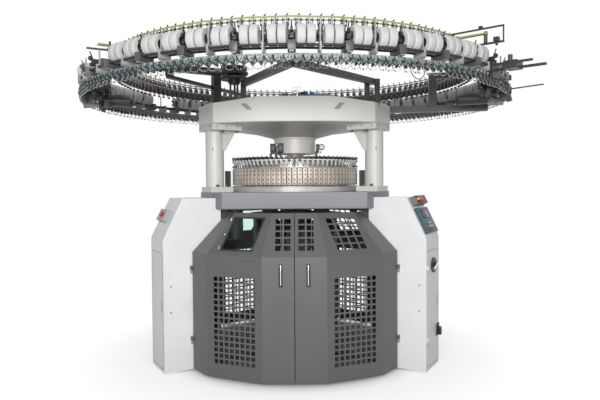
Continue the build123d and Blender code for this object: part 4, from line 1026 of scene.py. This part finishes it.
ringSides = 33
sideTurn = 360 / ringSides
halfTurn = math.radians(sideTurn / 2)
sideAngles = [90 + sideTurn * i for i in range(ringSides)]
elastane = {
    "radius": 1.610, "rollRadius": 0.0625, "rollWidth": 0.049, "bore": 0.030, "rollHeight": 2.178,
    "rodSpread": 0.038, "rodRadius": 0.0075, "rodHeight": 2.119, "rodGap": 0.002, "split": 0.003,
    "rimShare": 0.97, "rimBevel": 0.011, "rimProfile": 0.6, "coreShare": 0.985, "coreGap": 0.008,
    "bare": (10, 11, 22, 23, 24, 25, 42, 44, 45, 46, 47),  # units without rolls, beside the drive units
}
unitAside = elastane["radius"] * math.tan(halfTurn) / 2
units = [
    (angle, unit) for index, angle in enumerate(sideAngles) for second, unit in enumerate((unitAside, -unitAside))
    if 2 * index + second not in elastane["bare"]]


def makeRolls(settings):
    radius, height = settings["radius"], settings["rollHeight"]
    roll = addRound(settings["rollRadius"], settings["rollWidth"], origin, 22, "Y", 0)
    openMiddle(roll, (0, 1, 0), settings["rollRadius"] - settings["bore"])

    def onRim(edge):
        start, end = (vertex.co for vertex in edge.verts)
        near = min(math.hypot(start.x, start.z), math.hypot(end.x, end.z))
        return near > settings["rollRadius"] * settings["rimShare"] and abs(start.y - end.y) < 1e-5

    pickParts(roll, "EDGE", onRim)
    bpy.ops.mesh.bevel(offset=settings["rimBevel"], segments=3, profile=settings["rimProfile"], affect="EDGES")
    leaveEdit()
    places = []
    for angle, unit in units:
        for side in (-1, 1):
            aside = unit + side * (settings["rollWidth"] / 2 + settings["split"])
            spin = Matrix.Rotation(random.uniform(0, 6.28), 4, "Y")
            places.append(turnPlace(angle, radius, height, aside) @ spin)
    makeCopies("elastaneRolls", [roll], places, "wovenRoll", replaced=["elastane_rolls"])
    length = 2 * settings["rollWidth"] - settings["coreGap"]
    core = addRound(settings["bore"] * settings["coreShare"], length, origin, 14, "Y", 0.002)
    seats = [turnPlace(angle, radius, height, unit) for angle, unit in units]
    makeCopies("rollCores", [core], seats, "blackPlastic")


def makeDriveRods(settings):
    rods = []
    for angle in sideAngles:
        for side in (-1, 1):
            radius = settings["radius"] + side * settings["rodSpread"]
            half = radius * math.tan(halfTurn) - settings["rodGap"]
            start, end = (
                turnPlace(angle, radius, settings["rodHeight"], aside).translation for aside in (-half, half))
            rods.append(addRod(start, end, settings["rodRadius"], 10))
    makePiece("driveRods", rods, "rubber", replaced=["drive_rollers"])


bracket = {
    "depth": 0.112, "wide": 0.044, "thin": 0.012, "low": 2.086, "high": 2.140, "border": 0.004, "well": 0.02,
    "thinShare": 0.9, "post": ("block", (0.010, 0.008, 0.105), (0.028, 0, 0.066), 0.002, 1),
    "gear": [
        ("block", (0.050, 0.018, 0.050), (-0.004, 0, 0.062), 0.003, 1),
        ("block", (0.024, 0.026, 0.020), (0.020, 0, 0.050), 0.003, 1),
        ("round", 0.016, 0.014, (0.026, 0, 0.090), 12, "Y", 0.002),
        ("rod", (0.010, 0, 0.085), (0.030, 0, 0.135), 0.004, 6)],
}


def makeBrackets(settings):
    depth, tall = settings["depth"], settings["high"] - settings["low"]
    middle = (settings["high"] + settings["low"]) / 2
    wide = addBlock((depth, settings["wide"], tall), edge=0)
    pickFaces(wide, (0, 0, 1))
    bpy.ops.mesh.inset(thickness=settings["border"], depth=0)
    bpy.ops.transform.resize(value=(0.5, 1, 1))
    bpy.ops.mesh.extrude_region_move(TRANSFORM_OT_translate={"value": (0, 0, -settings["well"])})
    leaveEdit()
    bevelPiece(wide, 0.003, 2)
    share = settings["thinShare"]
    thin = addBlock((depth * share, settings["thin"], tall * share), edge=0.002)
    reach = elastane["radius"] / math.cos(halfTurn)
    corners = [turnPlace(angle + sideTurn / 2, reach, middle) for angle in sideAngles]
    sides = [turnPlace(angle, elastane["radius"], middle) for angle in sideAngles]
    makeCopies("wideBrackets", [wide], corners, "bracketGrey")
    makeCopies("thinBrackets", [thin, *addParts([settings["post"]])], sides, "plateGrey")
    makeCopies("cornerGear", addParts(settings["gear"]), corners, "blackPlastic")


eyelet = {
    "railRadius": 1.633, "railHeight": 2.046, "units": (-1.67, -1.0, -0.33, 0.33, 1.0, 1.67),
    "sway": 14, "drift": 0.006, "coilOut": 0.030, "coilTurn": 80, "coilDepth": 0.006, "coilShare": 0.62,
    "coils": {"dark": (0.016, -0.022, 0.010), "metal": (-0.018, -0.016, 0.008)},  # aside, up, radius
    "metal": [
        ("block", (0.026, 0.020, 0.034), (0.004, 0, 0), 0.003, 1),
        ("rod", (0.012, -0.006, -0.01), (0.030, -0.026, -0.045), 0.0016, 5),
        ("rod", (0.030, -0.026, -0.045), (0.018, -0.010, -0.058), 0.0016, 5),
        ("rod", (0.012, 0.006, -0.01), (0.030, 0.026, -0.045), 0.0016, 5),
        ("rod", (0.030, 0.026, -0.045), (0.018, 0.010, -0.058), 0.0016, 5),
        ("round", 0.006, 0.004, (0.018, 0, -0.055), 8, "Y", 0),
        ("round", 0.007, 0.010, (0.006, 0, 0.022), 8, "Z", 0)],
    "teal": [
        ("block", (0.008, 0.010, 0.008), (0.030, -0.010, -0.022), 0.001, 1),
        ("block", (0.014, 0.014, 0.012), (0.016, 0.004, 0.004), 0.002, 1)],
    "dark": [
        ("rod", (0.026, -0.028, -0.034), (0.030, 0.004, -0.006), 0.0024, 5),
        ("rod", (0.028, 0.024, 0.012), (0.034, 0.030, -0.030), 0.0022, 5),
        ("rod", (0.024, -0.020, 0.014), (0.030, -0.006, -0.012), 0.0030, 5),
        ("block", (0.016, 0.014, 0.012), (0.022, -0.024, -0.004), 0.002, 1),
        ("block", (0.018, 0.012, 0.022), (-0.004, 0.013, -0.020), 0.002, 1),
        ("rod", (0.0, -0.012, 0.0), (0.024, -0.018, 0.020), 0.0022, 5)],
}


def makeEyelets(settings):
    groups = {group: addParts(settings[group]) for group in ("metal", "teal", "dark")}
    for group, (aside, up, radius) in settings["coils"].items():
        coil = addTube(radius, radius * settings["coilShare"], settings["coilDepth"], sides=10)
        place = movePlace(settings["coilOut"], aside, up) @ spinPlace(settings["coilTurn"], "Y")
        groups[group].append(placePiece(coil, place))
    places = []
    for angle in sideAngles:
        for unit in settings["units"]:
            sway = spinPlace(random.uniform(-settings["sway"], settings["sway"]), "X")
            aside = unit * unitAside + random.uniform(-settings["drift"], settings["drift"])
            places.append(turnPlace(angle, settings["railRadius"], settings["railHeight"], aside) @ sway)
    makeCopies("eyeletArms", groups["metal"], places, "aluminium")
    makeCopies("eyeletClips", groups["teal"], places, "tealPlastic")
    makeCopies("eyeletSprings", groups["dark"], places, "blackPlastic")


makeRolls(elastane)
makeDriveRods(elastane)
makeBrackets(bracket)
makeEyelets(eyelet)
print("elastane ring dressed")


# Feeder ring: positive feeders with twin belts

feeder = {
    "radius": 1.394, "pitch": 2 * 1.380 * math.tan(halfTurn) / 4, "units": (-1.5, -0.5, 0.5, 1.5),
    "body": ((0.034, 0.030, 0.060), (0.002, 0, 2.268)), "taper": (0.7, 0.8, 1),
    "dark": [
        ("round", 0.024, 0.030, (0.006, 0, 2.222), 12, "Z", 0.003, 0.019),
        ("round", 0.011, 0.010, (0.0, 0, 2.304), 10),
        ("rod", (0.0, 0, 2.322), (0.0, 0.002, 2.350), 0.0044, 6),
        ("rod", (0.0, 0.002, 2.349), (0.004, 0.012, 2.358), 0.0040, 6),
        ("block", (0.012, 0.046, 0.009), (0.016, 0, 2.318), 0.002, 1),
        ("block", (0.012, 0.040, 0.009), (0.016, 0, 2.290), 0.002, 1),
        ("block", (0.050, 0.044, 0.046), (-0.030, 0, 2.232), 0.004, 1),
        ("block", (0.020, 0.026, 0.022), (-0.040, 0.006, 2.200), 0.003, 1),
        ("rod", (0.016, -0.017, 2.286), (0.016, -0.017, 2.330), 0.0028, 5),
        ("rod", (0.016, 0.017, 2.286), (0.016, 0.017, 2.330), 0.0028, 5),
        ("block", (0.020, 0.012, 0.016), (0.016, 0, 2.186), 0.002, 1)],
    "pale": [
        ("block", (0.008, 0.010, 0.062), (0.021, 0, 2.300), 0.002, 1),
        ("round", 0.019, 0.012, (-0.032, 0, 2.262), 12, "Z", 0.002),
        ("rod", (0.0, 0, 2.296), (0.0, 0, 2.330), 0.0055, 8),
        ("round", 0.015, 0.022, (0.006, 0, 2.240), 12),
        ("rod", (0.004, 0.013, 2.255), (0.022, 0.013, 2.186), 0.0016, 5),
        ("rod", (0.004, -0.013, 2.255), (0.022, -0.013, 2.186), 0.0016, 5)],
    "red": [
        ("block", (0.007, 0.008, 0.009), (0.019, 0.004, 2.262), 0.001, 1),
        ("block", (0.006, 0.010, 0.010), (-0.057, -0.006, 2.222), 0.001, 1)],
}


def makeFeeders(settings):
    body = addBlock(*settings["body"], 0)
    pickFaces(body, (0, 0, -1))
    bpy.ops.transform.resize(value=settings["taper"])
    leaveEdit()
    dark = [bevelPiece(body, 0.004, 1), *addParts(settings["dark"])]
    places = [
        turnPlace(angle, settings["radius"], 0, unit * settings["pitch"])
        for angle in sideAngles for unit in settings["units"]]
    makeCopies("feederBodies", dark, places, "blackPlastic", replaced=["yarn_feeders"])
    makeCopies("feederWheels", addParts(settings["pale"]), places, "aluminium")
    makeCopies("feederLamps", addParts(settings["red"]), places, "redPlastic")


makeFeeders(feeder)
print("feeders dressed")


# Drive gear at the two gaps in the rolls: housings, discs, rods and wires as the photo shows them

gearSpots = {
    "left": {"angle": 199.09, "radii": (1.45, 1.63), "heights": (1.945, 2.130), "aside": 0.165, "seed": 7},
    "right": {"angle": 340.91, "radii": (1.45, 1.67), "heights": (1.965, 2.130), "aside": 0.150, "seed": 12},
}
gearParts = {
    "blocks": 60, "blockSize": (0.016, 0.056), "blockTurn": 0.5, "blackShare": 0.72,
    "discs": 12, "discRadius": (0.012, 0.028), "discDepth": (0.008, 0.024),
    "rods": 44, "rodHalf": (0.02, 0.05), "rodRadius": (0.0018, 0.0045),
    "clips": 8, "clip": (0.014, 0.016, 0.012),
    "looks": {  # finish, slot where it isn't the finish's own
        "black": ("blackPlastic", None), "grey": ("legGrey", "dark_paint"), "steel": ("machinedSteel", None),
        "teal": ("tealPlastic", None)},
}


def makeDriveGear(side, spots, settings):
    draw = random.Random(spots["seed"])
    groups = {group: [] for group in settings["looks"]}

    def spot():
        return turnPlace(
            spots["angle"], draw.uniform(*spots["radii"]), draw.uniform(*spots["heights"]),
            draw.uniform(-spots["aside"], spots["aside"]))

    for count in range(settings["blocks"]):
        block = addBlock([draw.uniform(*settings["blockSize"]) for axis in range(3)], edge=0.003, steps=1)
        turn = Matrix.Rotation(draw.uniform(-settings["blockTurn"], settings["blockTurn"]), 4, draw.choice("XYZ"))
        placePiece(block, spot() @ turn)
        groups["black" if draw.random() < settings["blackShare"] else "grey"].append(block)
    for count in range(settings["discs"]):
        radius, depth = draw.uniform(*settings["discRadius"]), draw.uniform(*settings["discDepth"])
        disc = placePiece(addRound(radius, depth, origin, 14, "X", 0.002), spot())
        groups[draw.choice(("steel", "black", "grey"))].append(disc)
    for count in range(settings["rods"]):
        middle = spot().translation
        reach = Vector((draw.uniform(-1, 1), draw.uniform(-1, 1), draw.uniform(-0.8, 0.4))).normalized()
        half = reach * draw.uniform(*settings["rodHalf"])
        group = draw.choice(("steel", "black", "black"))
        groups[group].append(addRod(middle - half, middle + half, draw.uniform(*settings["rodRadius"]), 6))
    for count in range(settings["clips"]):
        groups["teal"].append(placePiece(addBlock(settings["clip"], edge=0.002, steps=1), spot()))
    for group, (finish, slot) in settings["looks"].items():
        makePiece(f"{side}Gear{group.capitalize()}", groups[group], finish)


beltRun = {"turn": 210, "size": (0.150, 0.004, 0.010), "radius": 1.485, "height": 2.336, "asides": (-0.020, 0.020)}


def makeBeltRun(settings):
    strips = [
        addBlock(settings["size"], (settings["radius"], aside, settings["height"]), 0.001, 1)
        for aside in settings["asides"]]
    makePiece("leftBeltRun", strips, "beltGreen", place=spinPlace(settings["turn"], "Z"), smooth=35)


crownClutter = {
    "seed": 3, "blocks": 34, "run": (-0.03, 0.27), "deep": (-0.43, -0.36), "size": (0.010, 0.030), "top": 2.0,
    "lift": (0.006, 0.036), "high": 0.16, "lowShare": 0.6,  # beyond high the heap is lower
    "choice": ("cableBlue", "cableBlue", "tealPlastic", "cableViolet", "blackPlastic"),
    "rings": ((0.006, 2.074, 0.024), (0.034, 2.082, 0.020), (0.020, 2.066, 0.015)),  # x, height, radius
    "ringShare": 0.72, "ringDepth": 0.008, "ringFace": -0.40, "ringTurn": 82,
    "hook": ("block", (0.010, 0.010, 0.040), (0.022, -0.40, 2.020), 0.002, 1),
}


def makeCrownClutter(settings):
    draw = random.Random(settings["seed"])
    groups = {finish: [] for finish in ("cableBlue", "tealPlastic", "cableViolet", "blackPlastic", "chrome")}
    for count in range(settings["blocks"]):
        x = draw.uniform(*settings["run"])
        size = [draw.uniform(*settings["size"]) for axis in range(3)]
        share = 1 if x < settings["high"] else settings["lowShare"]
        up = settings["top"] + size[2] / 2 + draw.uniform(*settings["lift"]) * share
        turn = Matrix.Rotation(draw.uniform(0, 3.14), 4, "Z")
        place = movePlace(x, draw.uniform(*settings["deep"]), up) @ turn
        block = placePiece(addBlock(size, edge=0.003, steps=1), place)
        groups[draw.choice(settings["choice"])].append(block)
    for x, up, radius in settings["rings"]:
        ring = addTube(radius, radius * settings["ringShare"], settings["ringDepth"])
        place = movePlace(x, settings["ringFace"], up) @ spinPlace(settings["ringTurn"], "X")
        groups["chrome"].append(placePiece(ring, place))
    groups["chrome"] += addParts([settings["hook"]])
    for finish, pieces in groups.items():
        makePiece(f"crownTop{finish[0].upper()}{finish[1:]}", pieces, finish)


for side, spots in gearSpots.items():
    makeDriveGear(side, spots, gearParts)
makeBeltRun(beltRun)
makeCrownClutter(crownClutter)
print("drive gear and crown top dressed")


# Cam box: bolted plates with ticks and rims, and the yarn guides above them

camBox = {
    "count": 80, "face": 0.513, "low": 1.351, "high": 1.484, "rows": (0.10, 0.34, 0.61, 0.83),
    "plateDepth": 0.018, "plateGap": 0.0052, "plateShort": 0.006, "panelBorder": 0.0022, "panelProud": 0.0012,
    "bolt": (0.0062, 0.0026), "boltFace": 0.0002,
    "upperRim": (0.5145, 0.440, 0.007, (0, 0, 1.4858), 80), "lowerRim": (0.5150, 0.440, 0.0045, (0, 0, 1.3445), 80),
    "tick": ((0.006, 0.003, 0.016), (0.001, 0, -0.012), 0), "ticks": 27, "tickRadius": 0.5165,
    "backingDepth": 0.012, "backingFace": -0.020,
}


def makeCamPlates(settings):
    tall = settings["high"] - settings["low"]
    width = 2 * math.pi * settings["face"] / settings["count"]
    pitch = 360 / settings["count"]
    size = (settings["plateDepth"], width - settings["plateGap"], tall - settings["plateShort"])
    plate = addBlock(size, (-settings["plateDepth"] / 2, 0, tall / 2), 0)
    pickFaces(plate, (1, 0, 0))
    bpy.ops.mesh.inset(thickness=settings["panelBorder"], depth=settings["panelProud"])
    leaveEdit()
    bevelPiece(plate, 0.0008, 1)
    bolts = [
        addRound(*settings["bolt"], (settings["boltFace"], 0, tall * row), 8, "X", 0) for row in settings["rows"]]
    rims = [bevelPiece(addTube(*settings["upperRim"]), 0.0015, 1), addTube(*settings["lowerRim"])]
    seats = [
        turnPlace(pitch * (3 * i + 0.5), settings["tickRadius"], settings["low"]) for i in range(settings["ticks"])]
    makeCopies("seatTicks", [addBlock(*settings["tick"])], seats, "darkPaint", smooth=None)
    makePiece("camRims", rims, "camSteel", smooth=35)
    size = (settings["backingDepth"], width, tall)
    backing = addBlock(size, (settings["backingFace"], 0, tall / 2), 0.0005, 1)
    places = [turnPlace(pitch * i, settings["face"], settings["low"]) for i in range(settings["count"])]
    makeCopies("camPlates", [plate], places, "camSteel", replaced=["cam_ring"], smooth=35)
    makeCopies("camBolts", bolts, places, "darkPaint")
    makeCopies("camBacking", [backing], places, "blackPlastic")


guides = {
    "count": 80, "radius": 0.504, "height": 1.548, "tongue": ((0.006, 0.022, 0.048), (0.006, 0, -0.026), 0),
    "tipShift": (-0.012, 0.006, 0), "tipTaper": (0.7, 0.5, 1),
    "eye": ("round", 0.007, 0.006, (0.010, 0.001, -0.004), 8, "X", 0),
    "clamp": [
        ("block", (0.022, 0.024, 0.016), (0.000, 0.002, 0.012), 0.002, 1),
        ("block", (0.020, 0.018, 0.014), (-0.034, -0.008, 0.014), 0.002, 1),
        ("block", (0.006, 0.008, 0.010), (0.010, 0.008, -0.046), 0.001, 1),
        ("rod", (0.002, 0, 0.012), (0.014, 0.010, 0.026), 0.003, 6),
        ("rod", (-0.010, -0.004, 0.010), (-0.020, -0.008, 0.024), 0.002, 5)],
}


def makeYarnGuides(settings):
    tongue = addBlock(*settings["tongue"])
    pickFaces(tongue, (0, 0, -1))
    bpy.ops.transform.translate(value=settings["tipShift"])
    bpy.ops.transform.resize(value=settings["tipTaper"])
    leaveEdit()
    white = [bevelPiece(tongue, 0.0015, 1), *addParts([settings["eye"]])]
    pitch = 360 / settings["count"]
    places = [
        turnPlace(pitch * (i + 0.5), settings["radius"], settings["height"]) for i in range(settings["count"])]
    makeCopies("yarnGuides", white, places, "whitePlastic", replaced=["yarn_guides"])
    makeCopies("guideClamps", addParts(settings["clamp"]), places, "blackPlastic")


makeCamPlates(camBox)
makeYarnGuides(guides)
print("cam box dressed")
